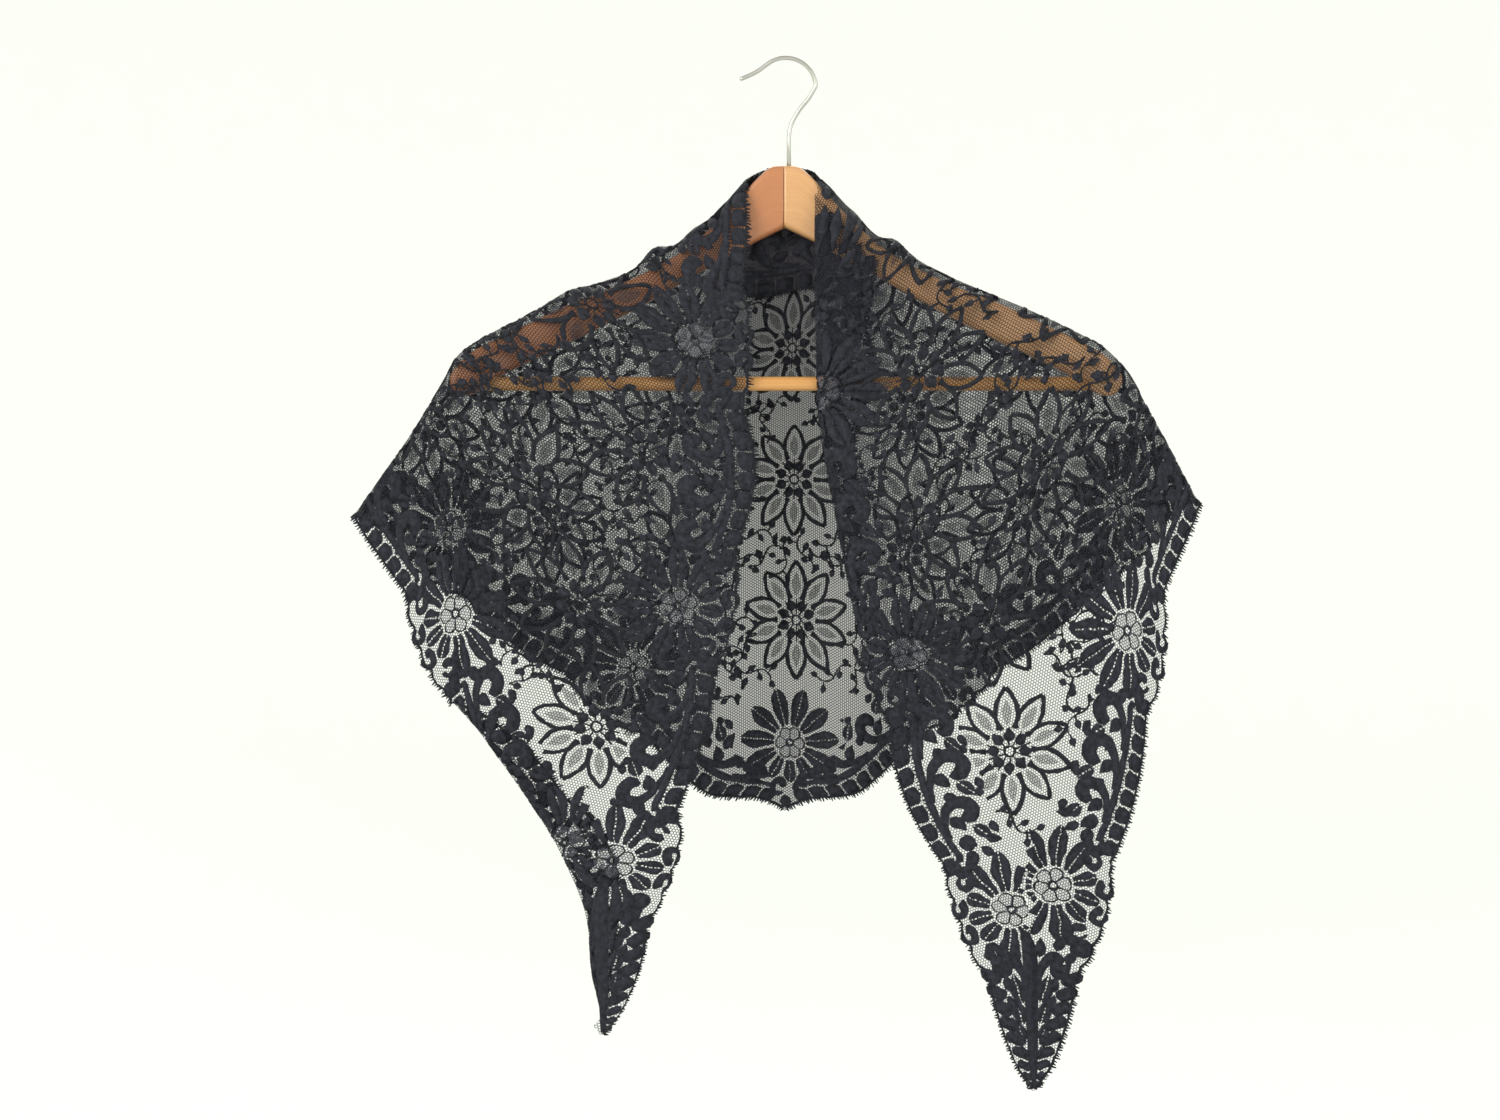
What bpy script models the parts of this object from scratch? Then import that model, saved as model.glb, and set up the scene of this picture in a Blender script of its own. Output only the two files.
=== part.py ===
"""A triangular black lace mantilla hung over a contoured wooden clothes hanger.

The cloth is one flat triangle. A flat point (a, b) lies a along the long edge from its
middle, and b square to it. Functions here carry flat points to their hung places: over the
arms of the hanger, down the back, and down in front of the trouser bar. Each stretch of
cloth is a grid of flat points that is hung and then given its wall by Solidify.

The origin is where the wire hook hangs. +X is to the right as seen from the front, the
front faces -Y and +Z is up. Sizes are in millimetres, and the meshes are made in metres.
"""

import math
from collections import namedtuple

import bmesh
import bpy
import numpy as np

MILLIMETRE = 0.001

# The flat cut
LONG_EDGE_HALF = 650.0
CLOTH_DEPTH = 535.0
HEM_HALF = math.hypot(LONG_EDGE_HALF, CLOTH_DEPTH)
HEM_RUN = LONG_EDGE_HALF / HEM_HALF
HEM_RISE = CLOTH_DEPTH / HEM_HALF
BORDER = 45.0
CORNER_ON_HEM = 425.0
BACK_POINT_CUT = 22.0
BACK_POINT_ROUND = 62.0
TIP_CUT = 2.0
TIP_ROUND = 25.0
TIP_WIDTH = 3.0
FIELD_TIP_CUT = 2.5
SLIDE_LENGTH = 150.0
POINT_SLOPE = CLOTH_DEPTH / LONG_EDGE_HALF
TIP_SLOPE = (1.0 + HEM_RUN) / HEM_RISE
LONG_EDGE_REPEAT = 175.0
HEM_REPEAT = 178.0
FLOWER_HALF = 40.0
SCALLOP_FLOWER = 8.0
SCALLOP_PLAIN = 6.0
SCALLOP_NOTCH = 3.0

# Walls, gaps between pieces, the fold of a turned edge, and the cells of the grids: rows
# stand close together near the crest and near a fold
CLOTH_WALL = 1.1
SEAM = 0.55
TURN_RADIUS = 1.6
TURN_LENGTH = math.pi * TURN_RADIUS
TIP_GAP = SEAM / 2 * math.hypot(1.0, TIP_SLOPE)
FIELD_CELL = 17.0
BORDER_CELL = 12.0
BORDER_ROWS = 4
INNER = BORDER - SEAM / 2
ROLL_ROWS = (2.0, 5.0, 9.0, 13.5, 19.0, 28.0)
NECK_ROWS = (1.1, 2.4, 5.0, 10.0, 18.0, 27.0)
NECK_REACHES = (SEAM, 1.0, 1.7)
REACH_SHARES = np.array([0.0, 0.05, 0.1, 0.2, 0.45, 0.72, 1.0])

# The hanger
ARM_REACH = 222.0
ARM_SWEEP = 45.0
SWEEP_POWER = 1.6
SWEEP_TAIL = 30.0
ARM_CORNER = 4.5
ARM_STATIONS = 27
CORNER_POINTS = 5
MITRE_X = -1.0
MITRE_GAP = 0.3
BAR_RADIUS = 4.7
BAR_Z = -222.5
BAR_Y = -41.0
BAR_HALF_LENGTH = 211.0
WIRE_RADIUS = 1.5
SHANK_X = 2.6
SHANK_FOOT = -87.0
HOOK_RADIUS = 20.5
HOOK_CENTRE_X = 0.5
HOOK_ARC_FROM = 4.0
HOOK_ARC_TO = 124.0
BORE_GAP = 0.3

# How the cloth lies on the hanger
ROLL_RADIUS = 11.2
CORNER_ROLL = 5.0
ROLL_NARROWS_FROM = 212.0
ROLL_NARROWS_OVER = 60.0
FRONT_OF_BAR = -50.6
LEAST_DROP = 25.0
LEAN_BEGINS = 14.0
LEAN_EASING = 0.4
FOLD_GROWS_OVER = 115.0
FOLD_MIDDLE_Z = -400.0
FOLD_MIDDLE_B = 300.0
ROLL_FADE = 200.0
BACK_PULL_FADE = 190.0
BACK_POINT_Z = -539.0
BACK_FALL = 0.98
BACK_NARROW = 0.871
BACK_NARROW_RIGHT = 0.017
BACK_DROP = 0.086
BACK_DROP_RIGHT = 0.012
BACK_CENTRE_ROUND = 20.0
BACK_CENTRE_WIDTH = 60.0
NECK_CREST_Y = 9.2
NECK_RISE = 26.0
NECK_ROLL = 1.1
TURNED_EDGE_CLEAR = 14.0
NECK_BORDER = 17.0

Arm = namedtuple("Arm", "x top bottom thickness")
ARM_SECTIONS = [
    Arm(0.0, -72, -114, 13.0),
    Arm(10.3, -73.5, -119, 13.0),
    Arm(18.5, -80.5, -123, 13.0),
    Arm(30.8, -94, -130, 13.0),
    Arm(46.2, -110.5, -138.5, 13.0),
    Arm(63.6, -126.5, -148.5, 13.0),
    Arm(87.0, -141.5, -162.5, 13.0),
    Arm(112.2, -154.5, -176.5, 13.0),
    Arm(142.3, -167, -192.5, 13.0),
    Arm(172.0, -182, -207.5, 13.0),
    Arm(191.6, -192, -218.5, 13.0),
    Arm(204.3, -199, -228, 13.0),
    Arm(213.5, -206, -230.5, 12.8),
    Arm(219.3, -212.5, -228.5, 11.0),
    Arm(222.0, -217, -224, 8.0),
]

Point = namedtuple("Point", "x z")
# The crest of the cloth from the neck, out over the arm and down to the side corner
RIDGE_LEFT = [
    Point(-27, -81.5), Point(-45.5, -102.5), Point(-64, -119), Point(-81.5, -131.5),
    Point(-103.5, -144.5), Point(-124, -153), Point(-149, -163), Point(-173.5, -176.5),
    Point(-204, -193.5), Point(-217.5, -204), Point(-225.5, -219), Point(-242, -247.5),
    Point(-283.5, -308.5),
]
RIDGE_RIGHT = [
    Point(19, -76), Point(33.5, -90), Point(48, -106.5), Point(64, -122), Point(82.5, -132.5),
    Point(100.5, -143.5), Point(122.5, -154), Point(162.5, -172), Point(190, -186),
    Point(213, -200), Point(224.5, -213), Point(238, -237.5), Point(270.5, -299.5),
]
# The crest behind the neck, between the two fronts
NECK_LINE = [
    Point(-27, -81.5), Point(-15.5, -74), Point(-3.5, -72), Point(9, -72), Point(19, -76),
]
# The visible inner edge of each front, from the neck to the tip
EDGE_LEFT = [
    Point(-27, -82), Point(-25, -157.5), Point(-26, -229.5), Point(-22, -279.5),
    Point(-32, -339.5), Point(-42, -399.5), Point(-53, -445.5), Point(-66, -489.5),
    Point(-73, -529.5), Point(-86, -569.5), Point(-98, -609.5), Point(-121, -660.5),
]
EDGE_RIGHT = [
    Point(19, -76.5), Point(18.5, -125), Point(19, -188.5), Point(22, -249.5),
    Point(34, -313.5), Point(49, -384.5), Point(62, -431.5), Point(70, -464.5),
    Point(84, -504.5), Point(106, -549.5), Point(133, -621.5), Point(164, -698.5),
]

Bow = namedtuple("Bow", "share out")
# How far the hem of each front bows out from the straight line between corner and tip
HEM_BOW_LEFT = [Bow(0, 0), Bow(0.12, -6), Bow(0.3, -4), Bow(0.6, 0), Bow(1, 0)]
HEM_BOW_RIGHT = [Bow(0, 0), Bow(0.14, -5), Bow(0.3, 4), Bow(0.75, 8), Bow(1, 0)]
BOW_DOWN = -0.35
BOW_OUT = 0.92

Turn = namedtuple("Turn", "along depth")
# Depth of the long edge turned in behind the right front, by place along that edge
RIGHT_EDGE_TURN = [Turn(25, 55.3), Turn(375, 0)]
# Depth of the hem turned in behind the left tip, by place along the hem from the back point
LEFT_HEM_TURN = [
    Turn(560, 0), Turn(610, 15), Turn(660, 24), Turn(715, 28), Turn(755, 24),
    Turn(790, 13), Turn(822, 6.5), Turn(840, 0),
]
LEAST_TURN = 6.0

Ruffle = namedtuple("Ruffle", "along lift width")
# Small standing waves of slack on the crest, by distance along it from the neck
RUFFLES_LEFT = [Ruffle(55, 2.5, 9), Ruffle(89, 7.5, 11), Ruffle(156, 2.5, 16)]
RUFFLES_RIGHT = [Ruffle(45, 2, 8), Ruffle(81, 5.5, 10)]
RUFFLE_FADE = 20.0

Fold = namedtuple("Fold", "place lean width depth start")
# Hanging folds of the back: place and lean along the long edge, depth towards the wall
BACK_FOLDS = [
    Fold(-262, -6, 24, 7, 12), Fold(-205, -10, 22, -6, 10), Fold(-142, 6, 27, 9, 18),
    Fold(-78, 4, 25, -8, 12), Fold(-14, 3, 24, 7, 20), Fold(48, -4, 26, -8, 16),
    Fold(112, 5, 27, 9, 10), Fold(172, 8, 23, -6, 18), Fold(238, 4, 27, 8, 12),
]
# Hanging folds of the fronts, below the bar: place and lean in x, depth towards the front
FRONT_FOLDS = [
    Fold(-225, 9, 17, 3, -250), Fold(-188, 12, 19, 6, -235), Fold(-140, 12, 18, -5, -300),
    Fold(-102, 4, 17, 6, -260), Fold(-66, -3, 16, -4, -330), Fold(-38, -4, 15, 4, -270),
    Fold(42, 6, 16, 4, -290), Fold(84, 8, 18, -5, -240), Fold(128, 10, 19, 7, -270),
    Fold(178, -4, 18, -5, -320), Fold(212, -6, 16, 5, -300), Fold(236, -6, 15, -3, -260),
]

Flap = namedtuple("Flap", "z left right")
# The stretch of long edge turned down behind the neck, by height
NECK_FLAP = [
    Flap(-157, -51, 55), Flap(-139, -47, 47), Flap(-120, -41, 35), Flap(-96, -20, 9),
    Flap(-72, -12, 1),
]
FLAP_COLUMNS = 10
FLAP_FOOT = -158.5
FLAP_WAVE = 3.0
FLAP_WAVES = 3.0
FLAP_ROWS = 8

# The wire's middle line, from the top of the shank to the arc and from the arc to its end
HOOK_NECK = [Point(SHANK_X, -53.5), Point(3.4, -46.5), Point(9.3, -34.5), Point(16, -26)]
HOOK_TAIL = [Point(-19, -7.8), Point(-31, -13.4)]

Side = namedtuple("Side", "name sign neck corner tip ridge edge bow ruffles joint")


def ease(x):
    """0 below 0, 1 above 1, and a smooth S between."""
    x = np.clip(x, 0.0, 1.0)
    return x * x * (3.0 - 2.0 * x)


def lerp(start, end, share):
    return start + (end - start) * share


def spline(knots, values, at):
    """Cubic spans through the values, each knot's slope taken from its neighbours."""
    knots = np.asarray(knots, float)
    values = np.asarray(values, float)
    slopes = np.gradient(values, knots, axis=0)
    at = np.clip(at, knots[0], knots[-1])
    span = np.clip(np.searchsorted(knots, at) - 1, 0, len(knots) - 2)
    length = knots[span + 1] - knots[span]
    x = (at - knots[span]) / length
    if values.ndim > 1:
        x = x[..., None]
        length = length[..., None]
    return (
        (2 * x**3 - 3 * x**2 + 1) * values[span]
        + (x**3 - 2 * x**2 + x) * length * slopes[span]
        + (3 * x**2 - 2 * x**3) * values[span + 1]
        + (x**3 - x**2) * length * slopes[span + 1]
    )


def curve(rows, share):
    """The point of the smooth curve through the rows at a share of its length."""
    rows = np.array(rows, float)
    steps = np.linalg.norm(np.diff(rows, axis=0), axis=1)
    knots = np.concatenate([[0.0], np.cumsum(steps)]) / steps.sum()
    return spline(knots, rows, share)


def table(rows, at):
    """The second column of the rows at a value of the first."""
    return spline([row[0] for row in rows], [row[1] for row in rows], at)


def sweep(x):
    """y of the hanger's middle: the arms come forward as a power of x. The cloth beyond
    their ends goes on at the same slope, easing off."""
    reach = np.minimum(np.abs(x), ARM_REACH) / ARM_REACH
    beyond = np.maximum(np.abs(x) - ARM_REACH, 0.0)
    slope = SWEEP_POWER * ARM_SWEEP / ARM_REACH
    tail = slope * SWEEP_TAIL * (1.0 - np.exp(-beyond / SWEEP_TAIL))
    return -ARM_SWEEP * reach**SWEEP_POWER - tail


def arm_top(x):
    """z of the top of the wood."""
    return table([(arm.x, arm.top) for arm in ARM_SECTIONS], np.abs(x))


def roll_radius(x):
    """Radius of the cloth's roll over the crest: even on the arm, tighter at the corner."""
    narrowing = ease((np.abs(x) - ROLL_NARROWS_FROM) / ROLL_NARROWS_OVER)
    return ROLL_RADIUS - (ROLL_RADIUS - CORNER_ROLL) * narrowing


def roll(distance, radius):
    """(down, out) after a distance: a quarter circle from the crest, then straight down."""
    distance = np.maximum(distance, 0.0)
    quarter = radius * math.pi / 2
    angle = np.minimum(distance, quarter) / radius
    down = radius * (1 - np.cos(angle)) + np.maximum(distance - quarter, 0.0)
    return down, radius * np.sin(angle)


def ruffle(side, along, distance):
    """Lift of the small standing waves, dying out away from the crest."""
    lift = sum(
        wave.lift * np.exp(-(((along - wave.along) / wave.width) ** 2))
        for wave in side.ruffles
    )
    return lift * np.exp(-np.maximum(distance, 0.0) / RUFFLE_FADE)


def flat_frame(start, end, inside):
    """(length, unit along, unit square to it on the inside point's side) of a flat line."""
    start, end, inside = (np.array(point, float) for point in (start, end, inside))
    length = float(np.linalg.norm(end - start))
    along = (end - start) / length
    across = np.array([-along[1], along[0]])
    if np.dot(inside - start, across) < 0:
        across = -across
    return length, along, across


def hem_point(sign, along, inward):
    """Flat point at a distance along the hem from the back point and inward from it."""
    a = along * HEM_RUN - inward * HEM_RISE
    b = CLOTH_DEPTH - along * HEM_RISE - inward * HEM_RUN
    return sign * a, b


def make_side(name, sign, neck, joint, ridge, edge, bow, ruffles):
    """A side of the cloth. joint is the flat end of its turned edge, kept as its two
    shares of the front triangle and its share of the visible edge's length."""
    corner = hem_point(sign, CORNER_ON_HEM, 0.0)
    tip = (sign * LONG_EDGE_HALF, 0.0)
    sides = np.array([np.subtract(corner, neck), np.subtract(tip, neck)])
    shares = np.subtract(joint, neck) @ np.linalg.inv(sides)
    before = math.dist(neck, joint)
    after = math.dist(joint, tip)
    where = (float(shares[0]), float(shares[1]), before / (before + after))
    return Side(name, sign, neck, corner, tip, ridge, edge, bow, ruffles, where)


LEFT = make_side(
    "left", -1, (-55.0, 0.0), (-350.0, 0.0), RIDGE_LEFT, EDGE_LEFT, HEM_BOW_LEFT, RUFFLES_LEFT
)
RIGHT = make_side(
    "right", 1, (25.0, 55.3), (375.0, 0.0), RIDGE_RIGHT, EDGE_RIGHT, HEM_BOW_RIGHT,
    RUFFLES_RIGHT,
)
NECK_FLAT = math.dist(LEFT.neck, RIGHT.neck)


def front_base(side, to_corner, to_tip):
    """x and z of the straight-sided hung triangle at two shares."""
    start = np.array(side.ridge[0], float)
    across = np.array(side.ridge[-1], float) - start
    down = np.array(side.edge[-1], float) - start
    return start + to_corner[..., None] * across + to_tip[..., None] * down


def hung_front(side, a, b):
    """A front, before any turned edge: the flat triangle neck-corner-tip carried to its
    hung triangle, then pulled to the crest, to the inner edge and to the bow of the hem,
    each pull fading evenly to nothing at the opposite side."""
    neck, corner, tip = (np.array(p, float) for p in (side.neck, side.corner, side.tip))
    away = np.stack([a - neck[0], b - neck[1]], axis=-1)
    shares = away @ np.linalg.inv(np.stack([corner - neck, tip - neck]))
    to_corner = shares[..., 0]
    to_tip = shares[..., 1]
    small = 1e-6
    place = front_base(side, to_corner, to_tip)

    ridge_length, along, across = flat_frame(side.neck, side.corner, side.tip)
    distance = away @ across
    on_crest = np.clip(to_corner, 0.0, 1.0)
    pull = curve(side.ridge, on_crest) - front_base(side, on_crest, on_crest * 0.0)
    keep = 1.0 - np.clip(to_tip / np.maximum(1.0 - to_corner, small), 0.0, 1.0)
    place = place + pull * keep[..., None]

    joint_corner, joint_tip, joint_share = side.joint
    edge_corner = np.interp(to_tip, [0.0, joint_tip, 1.0], [0.0, joint_corner, 0.0])
    edge_share = np.interp(to_tip, [0.0, joint_tip, 1.0], [0.0, joint_share, 1.0])
    pull = curve(side.edge, edge_share) - front_base(side, edge_corner, np.clip(to_tip, 0.0, 1.0))
    width = np.maximum(1.0 - to_tip - edge_corner, small)
    keep = 1.0 - np.clip((to_corner - edge_corner) / width, 0.0, 1.0)
    place = place + pull * keep[..., None]

    reached = np.clip(to_corner + to_tip, 0.0, 1.0)
    bow = table(side.bow, np.clip(to_tip / np.maximum(to_corner + to_tip, small), 0.0, 1.0))
    place = place + (bow * reached)[..., None] * np.array([side.sign * BOW_OUT, BOW_DOWN])

    down, out = roll(distance, roll_radius(place[..., 0]))
    hung_across = np.array(side.ridge[-1], float) - side.ridge[0]
    hung_down = np.array(side.edge[-1], float) - side.ridge[0]
    foot = np.dot(tip - neck, along) / ridge_length
    normal = (hung_down - foot * hung_across) / np.dot(tip - neck, across)
    slack = (down - np.maximum(distance, 0.0)) * (1.0 - ease(distance / ROLL_FADE))
    place = place + slack[..., None] * normal

    x = place[..., 0]
    z = place[..., 1] + ruffle(side, to_corner * ridge_length, distance)
    on_arm = sweep(x) - ROLL_RADIUS
    top = arm_top(x)
    drop = np.maximum(top - BAR_Z - BAR_RADIUS, LEAST_DROP)
    fall = np.clip((top - z) / drop, 0.0, 1.0)
    lean = lerp(fall, ease(fall), LEAN_EASING) * ease(distance / LEAN_BEGINS)
    y = sweep(x) - out + (np.minimum(on_arm, FRONT_OF_BAR) - on_arm) * lean
    for fold in FRONT_FOLDS:
        centre = fold.place + side.sign * fold.lean * (FOLD_MIDDLE_Z - z) / 100.0
        wave = fold.depth * np.exp(-(((x - centre) / fold.width) ** 2))
        grown = ease((fold.start - z) / FOLD_GROWS_OVER) * ease(distance / FOLD_GROWS_OVER)
        y = y - wave * grown
    return np.stack([x, y, z], axis=-1)


def back_base(a, b):
    """x and z of the back as a slanted plane, each half of it dropping to its side."""
    slant = np.sqrt(a * a + BACK_CENTRE_ROUND**2) - BACK_CENTRE_ROUND
    turn = np.tanh(a / BACK_CENTRE_WIDTH)
    x = a * (BACK_NARROW - BACK_NARROW_RIGHT * turn)
    z = BACK_POINT_Z + BACK_FALL * (CLOTH_DEPTH - b) - slant * (BACK_DROP - BACK_DROP_RIGHT * turn)
    return np.stack([x, z], axis=-1)


def hung_back(a, b):
    """The back: its plane pulled to the crest on both sides. A point takes the two pulls
    by the inverse squares of its distances from the crests, and less further down."""
    flat = np.stack([a, b], axis=-1)
    start = np.array(LEFT.neck)
    pulls = 0.0
    outs = 0.0
    weights = 0.0
    distances = []
    for side in (LEFT, RIGHT):
        length, unit, across = flat_frame(start, side.corner, (0.0, CLOTH_DEPTH))
        skipped = NECK_FLAT if side is RIGHT else 0.0
        along = np.clip((flat - start) @ unit, 0.0, length)
        distance = np.maximum((flat - start) @ across, 0.0)
        crest = curve(side.ridge, np.clip((along - skipped) / (length - skipped), 0.0, 1.0))
        in_neck = (along < skipped)[..., None]
        neck_share = np.clip(along / NECK_FLAT, 0.0, 1.0)
        crest = np.where(in_neck, curve(NECK_LINE, neck_share), crest)
        set_back = NECK_CREST_Y * ease(np.minimum(along, skipped - along) / NECK_RISE)
        down, out = roll(distance, roll_radius(crest[..., 0]) - set_back)
        foot = start + along[..., None] * unit
        at_foot = back_base(foot[..., 0], foot[..., 1])
        beside = foot + across
        normal = back_base(beside[..., 0], beside[..., 1]) - at_foot
        slack = (down - distance) * (1.0 - ease(distance / ROLL_FADE))
        pull = crest - at_foot + slack[..., None] * normal
        pull[..., 1] += ruffle(side, along - skipped, distance)
        weight = 1.0 / (distance**2 + SEAM)
        pulls = pulls + weight[..., None] * pull
        outs = outs + weight * (set_back + out)
        weights = weights + weight
        distances.append(distance)
    left, right = distances
    both = left * right / np.sqrt(left**2 + right**2 + 1e-9)
    keep = 1.0 - ease(both / BACK_PULL_FADE)
    place = back_base(a, b) + pulls / weights[..., None] * keep[..., None]
    x = place[..., 0]
    y = sweep(x) + outs / weights
    for fold in BACK_FOLDS:
        centre = fold.place + fold.lean * (b - FOLD_MIDDLE_B) / 100.0
        wave = fold.depth * np.exp(-(((a - centre) / fold.width) ** 2))
        y = y + wave * ease((both - fold.start) / BACK_PULL_FADE)
    return np.stack([x, y, place[..., 1]], axis=-1)


def scallop(along, repeat):
    """How far the border stands out of its line: a bulge at each flower, one between."""
    place = np.abs((along / repeat + 0.5) % 1.0 - 0.5) * repeat
    flower = np.cos(math.pi / 2 * np.clip(place / FLOWER_HALF, 0.0, 1.0))
    between = (place - FLOWER_HALF) / (repeat / 2 - FLOWER_HALF)
    plain = np.sin(math.pi / 2 * np.clip(between, 0.0, 1.0))
    return SCALLOP_FLOWER * flower**0.6 + SCALLOP_PLAIN * plain**0.7 - SCALLOP_NOTCH


def hem_edge(along):
    """Inward place of the scalloped hem, rounded off at the back point and at the tip."""
    edge = lerp(BACK_POINT_CUT, -scallop(along, HEM_REPEAT), point_ease(along))
    last = HEM_HALF - TIP_SLOPE * TIP_CUT
    return lerp(edge, TIP_CUT, ease((along - last) / TIP_ROUND + 1.0))


def point_ease(along):
    return ease((along - POINT_SLOPE * BACK_POINT_CUT) / BACK_POINT_ROUND)


def long_edge(along):
    """b of the scalloped long edge at a distance from its middle, cut off at the tip."""
    last = LONG_EDGE_HALF - TIP_SLOPE * TIP_CUT
    edge = -scallop(along, LONG_EDGE_REPEAT)
    return lerp(edge, TIP_CUT, ease((along - last) / TIP_ROUND + 1.0))


def left_hem_depth(along):
    """Depth of the turned hem of the left tip."""
    return np.maximum(table(LEFT_HEM_TURN, along), 0.0)


def right_edge_depth(along):
    """Depth of the turned edge of the right front, tapering evenly to nothing."""
    first, last = RIGHT_EDGE_TURN
    return np.interp(along, [first.along, last.along], [first.depth, last.depth])


def turned(surface, along, reach, depth):
    """Points of a strip turned in behind an edge, at a reach from the fold line: half a
    turn of TURN_RADIUS, and then behind the cloth by twice that radius. surface takes
    (along, inward) and its fold line lies depth inward."""
    step = 0.5
    angle = np.minimum(reach, TURN_LENGTH) / TURN_RADIUS
    inward = depth + np.maximum(reach - TURN_LENGTH, 0.0)
    base = surface(along, inward)
    into = surface(along, inward + step) - base
    beside = surface(along + step, inward) - base
    into = into / np.linalg.norm(into, axis=-1, keepdims=True)
    normal = np.cross(into, beside)
    normal = normal / np.linalg.norm(normal, axis=-1, keepdims=True)
    sideways = -TURN_RADIUS * np.sin(angle)
    behind = TURN_RADIUS * (1.0 - np.cos(angle))
    return base + sideways[..., None] * into + behind[..., None] * normal


def steps(length, cell, first=()):
    """Shares of a length: 0, the first distances, and then even cells."""
    start = first[-1] if first else 0.0
    count = max(2, round((length - start) / cell))
    return np.concatenate([[0.0], first, np.linspace(start, length, count + 1)[1:]]) / length


def seam_at_corner(side):
    """(change along the hem for each mm inward, mm inward for each mm of seam) of the
    crest line where it reaches the hem."""
    _, inward_to_neck, _ = flat_frame(side.corner, side.neck, side.tip)
    along = np.dot(inward_to_neck, (side.sign * HEM_RUN, -HEM_RISE))
    inward = np.dot(inward_to_neck, (-side.sign * HEM_RISE, -HEM_RUN))
    return along / inward, inward


def field_start(side):
    """Flat point on the crest where the inner edge border gives way to the field."""
    _, along, _ = flat_frame(side.neck, side.corner, side.tip)
    if side is LEFT:
        return np.array(side.neck) + along * BORDER / along[1]
    return np.array(side.neck) + along * NECK_BORDER


def field_corner(side):
    """Flat point on the crest where the field meets the hem border."""
    _, inward = seam_at_corner(side)
    _, along, _ = flat_frame(side.neck, side.corner, side.tip)
    return np.array(side.corner) - along * BORDER / inward


def field_tip(side):
    return np.array([side.sign * (LONG_EDGE_HALF - BORDER * TIP_SLOPE), BORDER])


def inset(line, rows):
    """How far to stop short along the rows for half a seam square to a boundary line."""
    line = line / np.linalg.norm(line)
    return SEAM / 2 / abs(rows[0] * line[1] - rows[1] * line[0])


def front_field(side):
    """Flat grid of a front inside its borders, in rows from the crest to near the tip."""
    start, corner, tip = field_start(side), field_corner(side), field_tip(side)
    _, along, across = flat_frame(side.neck, side.corner, side.tip)
    height = float(np.dot(tip - start, across))
    rows = steps(height, FIELD_CELL, ROLL_ROWS)
    rows[-1] = 1.0 - FIELD_TIP_CUT / height
    columns = steps(float(np.linalg.norm(corner - start)), FIELD_CELL)
    first = lerp(start, tip, rows[:, None]) + along * inset(tip - start, along)
    last = lerp(corner, tip, rows[:, None]) - along * inset(tip - corner, along)
    grid = lerp(first[:, None], last[:, None], columns[None, :, None])
    grid[0] += across * SEAM / 2
    return grid[..., 0], grid[..., 1]


def back_field():
    """Flat grid of the back inside its border: a four-sided patch."""
    start = np.array(LEFT.neck)
    left, right = field_corner(LEFT), field_corner(RIGHT)
    low = np.array([0.0, CLOTH_DEPTH - BORDER * HEM_HALF / LONG_EDGE_HALF])
    across = steps(math.dist(start, right), FIELD_CELL, ROLL_ROWS)
    down = steps(math.dist(start, left), FIELD_CELL, NECK_ROWS)
    short = SEAM / 2 / math.dist(start, left)
    p, q = np.meshgrid(lerp(short, 1 - short, across), lerp(short, 1 - short, down))
    p = p[..., None]
    q = q[..., None]
    grid = lerp(lerp(start, right, p), lerp(left, low, p), q)
    return grid[..., 0], grid[..., 1]


def strip(outer, inner, rows=BORDER_ROWS):
    """Flat grid between two flat lines with equal counts of points."""
    share = np.linspace(0.0, 1.0, rows)[None, :, None]
    grid = lerp(np.stack(outer, axis=-1)[:, None], np.stack(inner, axis=-1)[:, None], share)
    return grid[..., 0], grid[..., 1]


def slid(inner, first_shift, last_shift):
    """Places of a border's outer line: those of its inner line, slid along at both ends
    to meet the slanted seams there."""
    near_first = 1.0 - ease((inner - inner[0]) / SLIDE_LENGTH)
    near_last = 1.0 - ease((inner[-1] - inner) / SLIDE_LENGTH)
    return inner + first_shift * near_first + last_shift * near_last


def to_mitre(places, length, most):
    """Inward reach of a border's inner line: even, then down the mitre to the tip."""
    return np.minimum(most, (length - TIP_GAP - places) / TIP_SLOPE)


def on_to_tip(places, length):
    """Places along a border: beside the rows of the field, then in even cells."""
    last = length - TIP_SLOPE * (TIP_CUT + TIP_WIDTH) - TIP_GAP
    count = max(2, round((last - places[-1]) / BORDER_CELL))
    return np.append(places, np.linspace(places[-1], last, count + 1)[1:])


def along_hem(a, b):
    """Distance along the hem, from the back point, of flat points."""
    return np.abs(a) * HEM_RUN + (CLOTH_DEPTH - b) * HEM_RISE


def back_hem_border(side):
    """Flat grid of the hem border of one half of the back, from its point to the crest."""
    slope, _ = seam_at_corner(side)
    a, b = back_field()
    inner = along_hem(a[-1], b[-1]) if side is LEFT else along_hem(a[:, -1], b[:, -1])
    inner = inner[::-1].copy()
    inner[0] = POINT_SLOPE * INNER + SEAM / 2
    inner[-1] = CORNER_ON_HEM + slope * INNER - SEAM / 2
    outer = slid(inner, POINT_SLOPE * (BACK_POINT_CUT - INNER), -slope * INNER)
    return strip(
        hem_point(side.sign, outer, hem_edge(outer)),
        hem_point(side.sign, inner, np.full_like(inner, INNER)),
    )


def front_hem_places(side):
    """Distances along the hem of a front's border: of its inner line and of its outer."""
    slope, _ = seam_at_corner(side)
    a, b = front_field(side)
    inner = on_to_tip(along_hem(a[:, -1], b[:, -1]), HEM_HALF)
    inner[0] = CORNER_ON_HEM + slope * INNER + SEAM / 2
    return inner, slid(inner, -slope * INNER, 0.0)


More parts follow.
